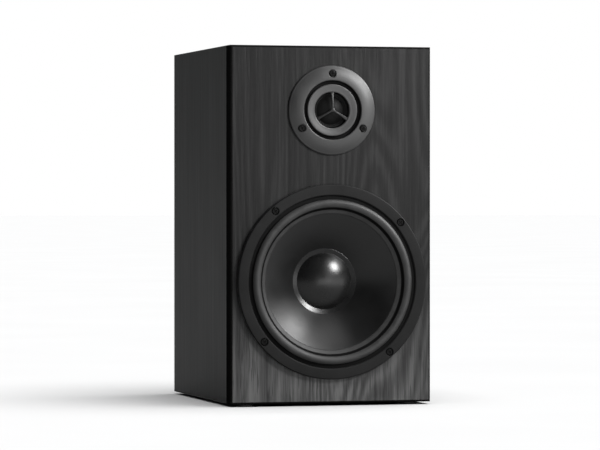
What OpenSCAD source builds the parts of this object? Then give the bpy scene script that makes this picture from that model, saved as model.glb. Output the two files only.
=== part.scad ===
// Two-way bookshelf loudspeaker: a vinyl-wrapped box with a separate front baffle, a 6.5 inch
// woofer, a 1 inch dome tweeter, a crossover, a rear port and a recessed cup with two binding posts.
// The front faces -Y, +X is to the right seen from the front, and +Z is up.
// The origin is the middle of the bottom of the box that bounds the whole object.
// Drivers are drawn in their own frame: z = 0 is the baffle's face and +z points to the listener.

/* [Cabinet] */
// Width of the cabinet
cab_w = 178; // [176:1:210]
// Height of the cabinet without its feet
cab_h = 306; // [300:1:350]
// Depth from the baffle's face to the rear edges of the side boards
cab_d = 210; // [205:1:240]
// Thickness of the side, top, bottom and back boards
board_t = 12; // [10:0.5:12]
// Thickness of the front baffle
baffle_t = 15; // [15:0.5:19]
// Radius of the baffle's front edges
baffle_edge_r = 2; // [0.5:0.5:3]
// How far the back board sits in from the rear edges
back_recess = 4; // [4:0.5:6]
// Height of the stick-on feet
foot_h = 2; // [1:0.5:4]
// Radius of the feet
foot_r = 6.5; // [5:0.5:8]
// Distance from a foot's centre to the cabinet's sides
foot_inset = 16; // [12:1:24]

/* [Woofer] */
// Height of the woofer's centre above the cabinet's bottom
woofer_h = 104; // [100:1:106]
// Outer radius of the woofer's flange
flange_r = 83.5; // [83.5:0.5:86]
// Radius of the circle of woofer screws
woofer_screw_pcr = 79; // [78.8:0.1:79.2]
// Turn of the woofer's screw pattern from the diagonals, in degrees
woofer_screw_turn = -5; // [-10:1:10]
// Radius of the woofer's hole in the baffle
woofer_cut_r = 73.6; // [73.2:0.1:74]
// Radius of the surround's crest
surround_crest_r = 67.9; // [67.7:0.1:68.1]
// Half the width of the surround's roll
roll_half_w = 5.3; // [5:0.1:5.4]
// Height of the surround's roll above its landing
roll_h = 4.6; // [4:0.1:5]
// Radius of the cone's front edge
cone_edge_r = 61.8; // [61.6:0.1:61.9]
// Radius of the dust cap
dust_cap_r = 25.7; // [24:0.1:27]
// Height of the dust cap's crown above its edge
dust_cap_h = 8.5; // [6:0.5:11]
// Radius of the woofer's magnet
magnet_r = 45; // [42:1:46]
// Thickness of the woofer's magnet
magnet_t = 15; // [12:1:18]
// Travel of the cone each way
cone_travel = 5; // [3:0.5:5]

/* [Tweeter] */
// Height of the tweeter's centre above the cabinet's bottom
tweeter_h = 251; // [249:1:258]
// Outer radius of the tweeter's faceplate
faceplate_r = 38.4; // [37.5:0.1:40]
// Height of the faceplate's crest in front of the baffle
faceplate_crest = 4.8; // [4:0.1:5]
// Radius of the groove around the guard
groove_r = 25.2; // [25:0.1:25.6]
// Radius of the opening in front of the dome
mouth_r = 15.4; // [15:0.1:15.8]
// Radius of the dome
dome_r = 12.6; // [12.6:0.1:12.7]
// Radius of the circle of tweeter screws
tweeter_screw_pcr = 31.5; // [31.2:0.1:32]
// Radius of the tweeter's hole in the baffle
tweeter_cut_r = 28.5; // [28:0.1:28.6]

/* [Rear] */
// Height of the terminal cup's centre above the cabinet's bottom
cup_h = 90; // [86:1:110]
// Depth of the terminal cup's recess
cup_depth = 24; // [24:1:26]
// Distance between the two binding posts
post_pitch = 19.05; // [19.05:0.05:20]
// Radius of a binding post's socket for a 4 mm plug
socket_r = 2; // [1.95:0.05:2.05]
// Height of the port's centre above the cabinet's bottom
port_h = 230; // [225:1:240]
// Inner radius of the port's tube
port_r = 19; // [17:0.5:19]
// Length of the port from its flange to its inner end
port_len = 110; // [80:5:120]

/* [Hidden] */
$fn = 96;

// Places along Y and Z that the pieces share
front_proud = 2.2 + roll_h;
face_y = front_proud - (cab_d + front_proud) / 2;
back_y = face_y + cab_d;
wrap_y = face_y + baffle_t;
back_board_y = back_y - back_recess;
cab_z = foot_h;
inner_w = cab_w - 2 * board_t;
inner_h = cab_h - 2 * board_t;
floor_z = cab_z + board_t;
woofer_z = cab_z + woofer_h;
tweeter_z = cab_z + tweeter_h;
cup_z = cab_z + cup_h;
port_z = cab_z + port_h;

// Woofer: heights in front of (+) or behind (-) the baffle's face
gasket_t = 1;
gasket_outer_r = flange_r - 1;
gasket_inner_r = woofer_cut_r + 0.9;
flange_hole_r = 2.1;
steel_t = 1.2;
flange_z = gasket_t + steel_t;
landing_t = 0.6;
landing_r = 75.4;
trim_top_z = 4.6;
trim_inner_r = 73.9;
cone_t = 0.8;
cone_edge_z = flange_z - landing_t;
cone_straight = 28;
cone_curve = 9.6;
former_r = 13;
former_wall = 0.3;
neck_z = cone_edge_z - cone_straight - cone_curve;
spider_z = -45.6;
spider_shelf_r = 49;
spider_seat_r = 40.5;
basket_floor_z = -54.8;
basket_hole_r = 20;
top_plate_z = basket_floor_z - steel_t;
plate_t = 6;
plate_r = magnet_r - 3;
gap_outer_r = 14.3;
pole_r = 12.35;
magnet_z = top_plate_z - plate_t - magnet_t;
coil_h = plate_t + cone_travel + 1;
coil_r = 13.9;
coil_z = top_plate_z - plate_t / 2 - coil_h / 2;
window_top_z = -12;
window_low_z = -43;
window_count = 6;
window_angle = 40;
window_from_r = spider_shelf_r + 2.5;
window_depth = 24;
wall_r = 71.4;
wall_low_z = -8;
tag_x = 11;
tag_reach = 62;

// Woofer screws
w_screw_r = 1.7;
w_head_r = 3.2;
w_head_h = 2;
w_screw_len = 13.5;

// Tweeter
t_gasket_t = 0.6;
web_z = -3.6;
web_top_z = 1.4;
boss_r = 27.5;
carrier_z = -5.2;
carrier_t = 1.2;
carrier_r = 15.8;
dome_z = carrier_z + carrier_t + 0.1;
dome_h = 5.1;
dome_t = 0.35;
t_plate_r = 23;
t_plate_t = 4;
t_gap_outer_r = 13.35;
t_magnet_hole_r = 16;
t_magnet_r = 24;
t_magnet_t = 8;
t_pole_r = 12.1;
t_coil_r = 12.95;
guard_z = 1.4;
guard_top_z = 3.4;
guard_crown_z = 5;
spoke_w = 1.8;
spoke_t = 1.4;
t_screw_r = 1.5;
t_head_r = 2.9;
t_head_z = 2.2;
t_head_h = 1.8;
t_screw_len = 13.2;

// Rear pieces
cup_flange = [84, 64];
cup_opening = [62, 42];
cup_flange_t = 2.5;
cup_wall = 2.5;
cup_screws = [72, 52];
cup_gasket_t = 1;
cup_face_y = back_board_y + cup_gasket_t + cup_flange_t;
cup_floor_y = cup_face_y - cup_depth;
stud_r = 3;
stud_tip_y = cup_floor_y + 20;
stud_tail_y = cup_floor_y - 14;
socket_len = 13.5;
wire_hole_r = 1.3;
wire_hole_y = cup_floor_y + 4.5;
collar_r = 5.5;
collar_t = 2.5;
thread_clearance = 0.05;
knob_r = 6.5;
knob_y = cup_floor_y + collar_t + 0.2;
knob_len = 19.8;
insert_r = 4.2;
insert_len = 13;
insert_y = knob_y + 0.5;
nut_t = 4;
lug_t = 0.8;
port_flange_r = 33;
port_flange_t = 3;
port_wall = 2;
port_flare = 12;

// Crossover board
board_size = [104, 78];
pcb_t = 1.6;
pcb_y = 48;
spacer_h = 6;
pcb_z = floor_z + spacer_h;
pcb_top_z = pcb_z + pcb_t;
pcb_holes = [94, 68];

// Wadding
wadding_t = 10;
wadding_y = [-50, 80];
wadding_low_z = 40;

// Wires: radius, and routes from a driver's or post's tag to the crossover board
wire_r = 1.1;
tinsel_r = 0.6;
wire_end_z = pcb_top_z;

// ---------- Shared shapes and places ----------

// Puts a driver's own frame on the baffle's face at the given height
module facing_front(z) {
    translate([0, face_y, z]) rotate([90, 0, 0]) children();
}

// Puts a frame whose +z points out of the back at the given depth and height
module facing_back(y, z) {
    translate([0, y, z]) rotate([90, 0, 180]) children();
}

module disc(r, z0, z1) {
    translate([0, 0, z0]) cylinder(r = r, h = z1 - z0);
}

module ring(r_out, r_in, z0, z1) {
    difference() {
        disc(r_out, z0, z1);
        disc(r_in, z0 - 1, z1 + 1);
    }
}

module around(count, radius, start) {
    for (i = [0 : count - 1]) {
        rotate(start + i * 360 / count) translate([radius, 0, 0]) children();
    }
}

// Puts children at the four corners of a rectangle
module at_corners(size) {
    for (x = [-1, 1], y = [-1, 1]) translate([x * size[0] / 2, y * size[1] / 2, 0]) children();
}

module rounded_rect(size, r) {
    square([size[0] - 2 * r, size[1]], center = true);
    square([size[0], size[1] - 2 * r], center = true);
    at_corners([size[0] - 2 * r, size[1] - 2 * r]) circle(r = r, $fn = 48);
}

// A cross-slotted head with its shank below it; z = 0 is the underside of the head
module pan_screw(head_r, head_h, shank_r, length) {
    difference() {
        union() {
            disc(head_r, 0, head_h * 0.6);
            translate([0, 0, head_h * 0.6]) cylinder(r1 = head_r, r2 = head_r * 0.7, h = head_h * 0.4);
            disc(shank_r, -length, 0);
        }
        cross_slot(head_r * 1.1, head_h);
    }
}

module cross_slot(span, top_z) {
    slot_w = 0.8;
    slot_depth = 1.2;
    for (a = [0, 90]) {
        rotate(a) translate([-span / 2, -slot_w / 2, top_z - slot_depth])
            cube([span, slot_w, slot_depth + 1]);
    }
}

module countersink(head_r, shank_r, depth) {
    translate([0, 0, -depth]) cylinder(r1 = shank_r, r2 = head_r, h = depth);
}

// Points of an arc of an ellipse, from one angle to the other
function arc(centre, radii, from, to, steps) = [
    for (i = [0 : steps])
        let(a = from + (to - from) * i / steps)
        [centre[0] + radii[0] * cos(a), centre[1] + radii[1] * sin(a)]
];

function reversed(list) = [for (i = [len(list) - 1 : -1 : 0]) list[i]];

// ---------- Wires ----------

function unit(v) = v / norm(v);

// A point on the smooth curve through a route's points, t = 0 to 1 between points i and i + 1
function on_curve(p, i, t) =
    let(a = p[max(i - 1, 0)], b = p[i], c = p[i + 1], d = p[min(i + 2, len(p) - 1)])
    0.5 * (2 * b + (c - a) * t + (2 * a - 5 * b + 4 * c - d) * t * t
        + (3 * b - a - 3 * c + d) * t * t * t);

function curve(p, steps) = concat(
    [for (i = [0 : len(p) - 2], k = [0 : steps - 1]) on_curve(p, i, k / steps)],
    [p[len(p) - 1]]
);

// A round wire swept along a route that never runs straight along X
module wire(route, r) {
    sides = 8;
    path = curve(route, 4);
    last = len(path) - 1;
    points = [
        for (i = [0 : last])
            let(along = unit(path[min(i + 1, last)] - path[max(i - 1, 0)]),
                u = unit(cross(along, [1, 0, 0])),
                v = cross(along, u))
            for (k = [0 : sides - 1])
                path[i] + r * (cos(k * 360 / sides) * u + sin(k * 360 / sides) * v)
    ];
    walls = [
        for (i = [0 : last - 1], k = [0 : sides - 1])
            let(a = i * sides + k, b = i * sides + (k + 1) % sides)
            for (f = [[a, a + sides, b + sides], [a, b + sides, b]]) f
    ];
    start_cap = [for (k = [0 : sides - 1]) k];
    end_cap = [for (k = [sides - 1 : -1 : 0]) last * sides + k];
    polyhedron(points, concat([start_cap], walls, [end_cap]));
}

// Mirrors a point in the plane X = 0
function flip_x(p) = [-p[0], p[1], p[2]];

// ---------- Cabinet ----------

// A board of the wrap, mitred at both ends: its section lies in X and Z, bottom board first
module mitred_board(outer, inner, thickness) {
    translate([0, back_y, 0]) rotate([90, 0, 0]) linear_extrude(back_y - wrap_y)
        polygon([[-outer / 2, 0], [outer / 2, 0], [inner / 2, thickness], [-inner / 2, thickness]]);
}

module bottom_panel() {
    color([0.13, 0.13, 0.13]) difference() {
        translate([0, 0, cab_z]) mitred_board(cab_w, inner_w, board_t);
        at_pcb_holes(floor_z) disc(1.5, -9, 1);
    }
}

module top_panel() {
    color([0.13, 0.13, 0.13]) translate([0, 0, cab_z + cab_h]) mirror([0, 0, 1])
        mitred_board(cab_w, inner_w, board_t);
}

module side_panel() {
    color([0.17, 0.18, 0.17]) translate([-cab_w / 2, 0, cab_z + cab_h / 2]) rotate([0, 90, 0])
        mitred_board(cab_h, inner_h, board_t);
}

module left_side_panel() {
    side_panel();
}

module right_side_panel() {
    mirror([1, 0, 0]) side_panel();
}

module back_panel() {
    color([0.10, 0.10, 0.10]) difference() {
        translate([-inner_w / 2, back_board_y - board_t, floor_z]) cube([inner_w, board_t, inner_h]);
        facing_back(back_board_y, cup_z) translate([0, 0, -board_t - 1]) linear_extrude(board_t + 2)
            square(cup_opening + 2 * [cup_wall, cup_wall] + [1, 1], center = true);
        facing_back(back_board_y, cup_z) at_corners(cup_screws) disc(1.6, -10, 1);
        facing_back(back_board_y, port_z) disc(port_r + 7, -board_t - 1, 1);
    }
}

// A bar that takes the sharp edge off a corner, leaving a quarter round
module edge_cutter(length, r) {
    rotate([0, 90, 0]) translate([0, 0, -length / 2]) difference() {
        translate([-1, -1, 0]) cube([r + 1, r + 1, length]);
        translate([r, r, -1]) cylinder(r = r, h = length + 2, $fn = 48);
    }
}

module front_baffle() {
    color([0.20, 0.20, 0.20]) difference() {
        translate([-cab_w / 2, face_y, cab_z]) cube([cab_w, baffle_t, cab_h]);
        translate([0, face_y, cab_z + cab_h / 2]) {
            for (a = [0, 180]) rotate([0, a, 0]) translate([0, 0, cab_h / 2])
                edge_cutter(cab_w + 2, baffle_edge_r);
            for (a = [90, 270]) rotate([0, a, 0]) translate([0, 0, cab_w / 2])
                edge_cutter(cab_h + 2, baffle_edge_r);
        }
        facing_front(woofer_z) {
            disc(woofer_cut_r, -baffle_t - 1, 1);
            at_woofer_screws() disc(w_screw_r, flange_z - w_screw_len, 1);
        }
        facing_front(tweeter_z) {
            disc(tweeter_cut_r, -baffle_t - 1, 1);
            at_tweeter_screws() disc(t_screw_r, -11, 1);
        }
    }
}

module rubber_feet() {
    depth = back_y - face_y;
    color([0.06, 0.06, 0.06]) translate([0, (face_y + back_y) / 2, 0])
        at_corners([cab_w - 2 * foot_inset, depth - 2 * foot_inset])
            cylinder(r1 = foot_r, r2 = foot_r + 0.5, h = foot_h);
}

// ---------- Woofer ----------

module at_woofer_screws() {
    around(4, woofer_screw_pcr, 45 + woofer_screw_turn) children();
}

// Height of the cone's front surface at radius r: nearly straight, a little steeper at the neck
function cone_z(r) =
    let(t = (cone_edge_r - r) / (cone_edge_r - former_r))
    cone_edge_z - cone_straight * t - cone_curve * t * t;

cap_foot = 1.2;
bond_w = 3.4;
cone_radii = [
    former_r, 16, 20, dust_cap_r - cap_foot, dust_cap_r, 32, 40, 48, 54,
    cone_edge_r - bond_w, cone_edge_r
];

function cone_line(from, to, lift) = [
    for (r = cone_radii) if (r >= from && r <= to) [r, cone_z(r) + lift]
];

module woofer_gasket() {
    color([0.05, 0.05, 0.05]) facing_front(woofer_z) difference() {
        ring(gasket_outer_r, gasket_inner_r, 0, gasket_t);
        at_woofer_screws() disc(flange_hole_r, -1, gasket_t + 1);
    }
}

module woofer_basket() {
    front = [
        [flange_r, flange_z], [wall_r, flange_z], [wall_r, wall_low_z],
        [spider_shelf_r, spider_z], [spider_seat_r, spider_z],
        [spider_seat_r - 1, basket_floor_z], [basket_hole_r, basket_floor_z]
    ];
    rear = [
        [basket_hole_r, top_plate_z], [spider_seat_r + 0.3, top_plate_z],
        [spider_seat_r + 1.4, spider_z - steel_t], [spider_shelf_r + 0.9, spider_z - steel_t],
        [wall_r + steel_t, wall_low_z - 0.4], [wall_r + steel_t, gasket_t], [flange_r, gasket_t]
    ];
    color([0.12, 0.12, 0.12]) facing_front(woofer_z) difference() {
        rotate_extrude() polygon(concat(front, rear));
        for (i = [0 : window_count - 1]) rotate(i * 360 / window_count - 60 - window_angle / 2)
            rotate_extrude(angle = window_angle)
                translate([window_from_r, window_low_z]) square([window_depth, window_top_z - window_low_z]);
        at_woofer_screws() disc(flange_hole_r, 0, 4);
    }
}

module woofer_trim_ring() {
    color([0.14, 0.14, 0.14]) facing_front(woofer_z) difference() {
        rotate_extrude() polygon(concat(
            [[landing_r, flange_z], [flange_r, flange_z]],
            arc([flange_r - 1, trim_top_z - 1], [1, 1], 0, 90, 4),
            arc([trim_inner_r + 1, trim_top_z - 1], [1, 1], 90, 180, 4),
            [[trim_inner_r, flange_z + landing_t], [landing_r, flange_z + landing_t]]
        ));
        at_woofer_screws() disc(w_head_r + 0.2, 0, 8);
    }
}

module woofer_surround() {
    top = flange_z + landing_t;
    bond = cone_line(cone_edge_r - bond_w, cone_edge_r, 0);
    bond_top = cone_line(cone_edge_r - bond_w, cone_edge_r, landing_t);
    color([0.09, 0.09, 0.09]) facing_front(woofer_z) rotate_extrude() polygon(concat(
        bond,
        arc([surround_crest_r, flange_z], [roll_half_w - landing_t, roll_h - landing_t], 180, 0, 20),
        [[landing_r, flange_z], [landing_r, top], [surround_crest_r + roll_half_w, top]],
        arc([surround_crest_r, flange_z], [roll_half_w, roll_h], 8, 172, 20),
        reversed(bond_top)
    ));
}

module woofer_cone() {
    neck_low = neck_z - 4;
    color([0.08, 0.08, 0.08]) facing_front(woofer_z) rotate_extrude() polygon(concat(
        cone_line(former_r, cone_edge_r, 0),
        reversed(cone_line(16, cone_edge_r, -cone_t * 1.3)),
        [[former_r + 0.8, neck_z - 1.4], [former_r + 0.8, neck_low], [former_r, neck_low]]
    ));
}

module woofer_dust_cap() {
    edge_z = cone_z(dust_cap_r);
    sphere_r = (dust_cap_r * dust_cap_r + dust_cap_h * dust_cap_h) / (2 * dust_cap_h);
    centre_z = edge_z + dust_cap_h - sphere_r;
    rim_a = acos(dust_cap_r / sphere_r);
    inner_r = dust_cap_r - cap_foot;
    inner_z = cone_z(inner_r);
    inner_crown = edge_z + dust_cap_h - cone_t;
    inner_h = inner_crown - inner_z - 0.6;
    inner_sphere = (inner_r * inner_r + inner_h * inner_h) / (2 * inner_h);
    inner_a = acos(inner_r / inner_sphere);
    color([0.05, 0.05, 0.05]) facing_front(woofer_z) rotate_extrude() polygon(concat(
        arc([0, centre_z], [sphere_r, sphere_r], rim_a, 90, 14),
        arc([0, inner_crown - inner_sphere], [inner_sphere, inner_sphere], 90, inner_a, 14),
        [[inner_r, inner_z]]
    ));
}

module woofer_spider() {
    web_t = 0.6;
    waves = 5;
    wave_h = 1.5;
    wave_from = 15;
    wave_to = 40;
    steps = 40;
    mid = [for (i = [0 : steps])
        [wave_from + (wave_to - wave_from) * i / steps, spider_z + wave_h * sin(360 * waves * i / steps)]];
    color([0.72, 0.60, 0.32]) facing_front(woofer_z) rotate_extrude() polygon(concat(
        [[former_r, spider_z - 0.6], [former_r + 1, spider_z - 0.6]],
        mid,
        [[spider_shelf_r - 0.4, spider_z], [spider_shelf_r - 0.4, spider_z + web_t]],
        [for (p = reversed(mid)) [p[0], p[1] + web_t]],
        [[former_r + 1, spider_z + 1.8], [former_r, spider_z + 1.8]]
    ));
}

module woofer_coil_former() {
    color([0.75, 0.74, 0.70]) facing_front(woofer_z)
        ring(former_r, former_r - former_wall, coil_z - 1, neck_z + 1);
}

module woofer_voice_coil() {
    color([0.72, 0.40, 0.20]) facing_front(woofer_z) ring(coil_r, former_r, coil_z, coil_z + coil_h);
}

module woofer_top_plate() {
    color([0.75, 0.74, 0.66]) facing_front(woofer_z)
        ring(plate_r, gap_outer_r, top_plate_z - plate_t, top_plate_z);
}

module woofer_magnet() {
    color([0.22, 0.22, 0.23]) facing_front(woofer_z)
        ring(magnet_r, magnet_r / 2, magnet_z, top_plate_z - plate_t);
}

module woofer_pole_yoke() {
    color([0.75, 0.74, 0.66]) facing_front(woofer_z) {
        disc(plate_r, magnet_z - plate_t, magnet_z);
        disc(pole_r, magnet_z - 1, top_plate_z);
    }
}

strip_z = spider_z - steel_t;
strip_t = 1.6;

module woofer_terminal_strip() {
    color([0.45, 0.30, 0.15]) facing_front(woofer_z)
        translate([-tag_x - 4, -tag_reach + 3, strip_z - strip_t]) cube([2 * tag_x + 8, 16, strip_t]);
}

module woofer_terminal_tags() {
    color([0.80, 0.78, 0.70]) facing_front(woofer_z) for (x = [-tag_x, tag_x]) {
        translate([x - 2.4, -tag_reach - 4, strip_z]) cube([4.8, 10, 0.5]);
    }
}

module woofer_tinsel_leads() {
    route = [
        [8, -22.6, cone_z(24) - 2.2], [9, -28, -30], [10, -36, -34.5], [11, -44, -38.5],
        [11, -50, -40.6], [11, -55, -41.8], [11, -58.5, -43.6], [11, -59.5, strip_z + 1.2]
    ];
    color([0.75, 0.45, 0.25]) facing_front(woofer_z) {
        wire(route, tinsel_r);
        wire([for (p = route) flip_x(p)], tinsel_r);
    }
}

module woofer_screws() {
    color([0.05, 0.05, 0.05]) facing_front(woofer_z) at_woofer_screws()
        translate([0, 0, flange_z]) pan_screw(w_head_r, w_head_h, w_screw_r, w_screw_len);
}

// ---------- Tweeter ----------

module at_tweeter_screws() {
    around(3, tweeter_screw_pcr, 90) children();
}

module tweeter_gasket() {
    color([0.05, 0.05, 0.05]) facing_front(tweeter_z) difference() {
        ring(faceplate_r - 0.6, tweeter_cut_r + 0.5, 0, t_gasket_t);
        at_tweeter_screws() disc(t_screw_r + 0.3, -1, t_gasket_t + 1);
    }
}

module tweeter_faceplate() {
    edge_z = 1.6;
    crest_r = faceplate_r - 5;
    color([0.16, 0.16, 0.16]) facing_front(tweeter_z) difference() {
        rotate_extrude() polygon(concat(
            [[mouth_r + 0.6, web_z], [boss_r, web_z], [boss_r, t_gasket_t], [faceplate_r, t_gasket_t]],
            arc([crest_r, edge_z], [5, faceplate_crest - edge_z], 0, 90, 8),
            [[groove_r + 0.8, faceplate_crest - 1], [groove_r, faceplate_crest - 1.6],
                [groove_r, web_top_z], [mouth_r + 0.6, web_top_z]]
        ));
        at_tweeter_screws() {
            disc(t_screw_r + 0.2, -6, 8);
            disc(t_head_r + 0.2, t_head_z, 8);
        }
    }
}

// Front ring and the three spokes that arch over the dome, moulded in one
module tweeter_guard() {
    ring_r = groove_r - 1.2;
    rise = guard_crown_z - 2.2;
    arch_r = (mouth_r * mouth_r + rise * rise) / (2 * rise);
    color([0.24, 0.24, 0.24]) facing_front(tweeter_z) {
        rotate_extrude() polygon([
            [mouth_r, guard_z], [ring_r, guard_z], [ring_r, guard_top_z - 0.4],
            [ring_r - 0.4, guard_top_z], [mouth_r + 1.6, 2.7], [mouth_r + 0.5, 2.4], [mouth_r, 1.9]
        ]);
        intersection() {
            translate([0, 0, guard_crown_z - arch_r]) difference() {
                sphere(r = arch_r);
                sphere(r = arch_r - spoke_t);
            }
            union() {
                disc(2.6, 0, 8);
                for (a = [90, 210, 330]) rotate(a) translate([0, -spoke_w / 2, 0])
                    cube([mouth_r + 0.4, spoke_w, 8]);
            }
        }
    }
}

module tweeter_dome() {
    sphere_r = (dome_r * dome_r + dome_h * dome_h) / (2 * dome_h);
    centre_z = dome_z + dome_h - sphere_r;
    rim_a = acos(dome_r / sphere_r);
    in_r = sphere_r - dome_t;
    in_a = asin((dome_z - centre_z) / in_r);
    color([0.04, 0.04, 0.04]) facing_front(tweeter_z) rotate_extrude() polygon(concat(
        [[dome_r + 0.3, dome_z], [dome_r + 0.3, dome_z + dome_t]],
        arc([0, centre_z], [sphere_r, sphere_r], rim_a + 2, 90, 12),
        arc([0, centre_z], [in_r, in_r], 90, in_a, 12)
    ));
}

module tweeter_dome_surround() {
    inner = dome_r + 0.3;
    middle = (inner + carrier_r) / 2;
    half = (carrier_r - inner) / 2;
    color([0.05, 0.05, 0.05]) facing_front(tweeter_z) rotate_extrude() polygon(concat(
        arc([middle, dome_z], [half - 0.3, 0.9], 180, 0, 10),
        [[carrier_r, carrier_z + carrier_t], [carrier_r + 2.6, carrier_z + carrier_t],
            [carrier_r + 2.6, dome_z + 0.2]],
        arc([middle, dome_z], [half, 1.2], 10, 170, 10),
        [[inner, dome_z + 0.2], [inner, dome_z]]
    ));
}

module tweeter_voice_coil() {
    color([0.72, 0.40, 0.20]) facing_front(tweeter_z) {
        ring(dome_r, dome_r - 0.15, carrier_z - 3.4, dome_z);
        ring(t_coil_r, dome_r, carrier_z - 3.2, carrier_z - 0.8);
    }
}

module tweeter_carrier_ring() {
    color([0.10, 0.10, 0.10]) facing_front(tweeter_z)
        ring(boss_r, carrier_r, carrier_z, carrier_z + carrier_t);
}

module tweeter_top_plate() {
    color([0.75, 0.74, 0.66]) facing_front(tweeter_z)
        ring(t_plate_r, t_gap_outer_r, carrier_z - t_plate_t, carrier_z);
}

module tweeter_magnet() {
    color([0.22, 0.22, 0.23]) facing_front(tweeter_z)
        ring(t_magnet_r, t_magnet_hole_r, carrier_z - t_plate_t - t_magnet_t, carrier_z - t_plate_t);
}

module tweeter_pole_yoke() {
    rear = carrier_z - t_plate_t - t_magnet_t;
    color([0.75, 0.74, 0.66]) facing_front(tweeter_z) {
        disc(t_plate_r, rear - t_plate_t, rear);
        disc(t_pole_r, rear - 1, carrier_z);
    }
}

t_tag_x = 4;
t_tag_r = 26;
t_tag_z = -14;

module tweeter_terminal_tags() {
    color([0.80, 0.78, 0.70]) facing_front(tweeter_z) for (x = [-t_tag_x, t_tag_x]) {
        translate([x - 1.4, -t_tag_r - 0.5, t_tag_z]) cube([2.8, 0.5, carrier_z - t_tag_z]);
    }
}

module tweeter_screws() {
    color([0.05, 0.05, 0.05]) facing_front(tweeter_z) at_tweeter_screws()
        translate([0, 0, t_head_z]) pan_screw(t_head_r, t_head_h, t_screw_r, t_screw_len);
}

// ---------- Crossover ----------

module at_pcb_holes(z) {
    translate([0, pcb_y, z]) at_corners(pcb_holes) children();
}

module crossover_board() {
    color([0.10, 0.30, 0.14]) difference() {
        translate([0, pcb_y, pcb_z]) linear_extrude(pcb_t) rounded_rect(board_size, 2);
        at_pcb_holes(pcb_z) disc(1.6, -1, pcb_t + 1);
    }
}

module crossover_spacers() {
    color([0.85, 0.85, 0.80]) at_pcb_holes(floor_z) ring(3.2, 1.6, 0, spacer_h);
}

module crossover_screws() {
    color([0.65, 0.65, 0.62]) at_pcb_holes(pcb_top_z) pan_screw(2.8, 1.8, 1.5, spacer_h + pcb_t + 9);
}

w_coil_pos = [-26, 62, pcb_top_z];
w_coil_r = 22;
w_coil_h = 20;
w_coil_core_r = 9;
cheek_t = 1.5;

module woofer_inductor_bobbin() {
    color([0.08, 0.08, 0.08]) translate(w_coil_pos) difference() {
        union() {
            disc(w_coil_r, 0, cheek_t);
            disc(w_coil_r, w_coil_h - cheek_t, w_coil_h);
            disc(w_coil_core_r, cheek_t / 2, w_coil_h - cheek_t / 2);
        }
        disc(7, -1, w_coil_h + 1);
    }
}

module woofer_inductor_winding() {
    color([0.72, 0.38, 0.18]) translate(w_coil_pos)
        ring(w_coil_r - 2, w_coil_core_r, cheek_t, w_coil_h - cheek_t);
}

module tweeter_inductor_winding() {
    outer_r = 14;
    color([0.72, 0.38, 0.18]) translate([32, 60, pcb_top_z + outer_r]) rotate([-90, 0, 0])
        ring(outer_r, outer_r / 2, 0, 12);
}

// A can lying along X with a wire from each end down to the board
module lying_can(r, length, x, y) {
    wire_rad = 0.45;
    reach = length / 2 + 3;
    translate([x, y, pcb_top_z + r]) {
        rotate([0, 90, 0]) cylinder(r = r, h = length, center = true);
        rotate([0, 90, 0]) cylinder(r = wire_rad, h = 2 * reach, center = true, $fn = 24);
        for (s = [-1, 1]) translate([s * reach, 0, -r]) cylinder(r = wire_rad, h = r, $fn = 24);
    }
}

module woofer_capacitor() {
    color([0.10, 0.12, 0.35]) lying_can(9, 34, -20, 27);
}

module tweeter_capacitor() {
    color([0.75, 0.60, 0.15]) lying_can(6.5, 28, 28, 22);
}

module tweeter_resistor() {
    size = [46, 9.5, 9.5];
    lead_x = size[0] / 2 + 3;
    color([0.88, 0.87, 0.82]) translate([22, 43, pcb_top_z]) {
        translate([-size[0] / 2, -size[1] / 2, 0]) cube(size);
        for (s = [-1, 1]) {
            translate([s * (lead_x - 2), 0, size[2] / 2]) rotate([0, 90, 0])
                cylinder(r = 0.4, h = 4, center = true, $fn = 24);
            translate([s * lead_x, 0, 0]) cylinder(r = 0.4, h = size[2] / 2, $fn = 24);
        }
    }
}

// ---------- Terminal cup and binding posts ----------

module terminal_cup() {
    outer = cup_opening + 2 * [cup_wall, cup_wall];
    color([0.07, 0.07, 0.07]) facing_back(cup_face_y, cup_z) difference() {
        union() {
            translate([0, 0, -cup_flange_t]) linear_extrude(cup_flange_t) rounded_rect(cup_flange, 4);
            translate([0, 0, -cup_depth - cup_wall]) linear_extrude(cup_depth + cup_wall)
                rounded_rect(outer, 5);
        }
        translate([0, 0, -cup_depth]) linear_extrude(cup_depth + 1) rounded_rect(cup_opening, 3);
        at_corners(cup_screws) {
            disc(1.6, -cup_flange_t - 1, 1);
            countersink(3.1, 1.6, 1.8);
        }
        for (s = [-1, 1]) translate([s * post_pitch / 2, 0, 0]) disc(stud_r, -cup_depth - cup_wall - 1, 0);
    }
}

module terminal_cup_gasket() {
    color([0.05, 0.05, 0.05]) facing_back(back_board_y, cup_z) difference() {
        linear_extrude(cup_gasket_t) difference() {
            rounded_rect(cup_flange - [1, 1], 4);
            rounded_rect(cup_opening + 2 * [cup_wall, cup_wall] + [0.6, 0.6], 5);
        }
        at_corners(cup_screws) disc(1.7, -1, cup_gasket_t + 1);
    }
}

module terminal_cup_screws() {
    color([0.05, 0.05, 0.05]) facing_back(cup_face_y, cup_z) at_corners(cup_screws) difference() {
        union() {
            countersink(3.1, 1.6, 1.8);
            disc(1.6, -13, -1.8);
        }
        cross_slot(3.6, 0);
    }
}

// Puts a post's own frame on the cup's floor: side +1 is the positive post, seen left from behind
module at_post(side) {
    translate([side * post_pitch / 2, cup_floor_y, cup_z]) rotate([-90, 0, 0]) children();
}

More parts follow.
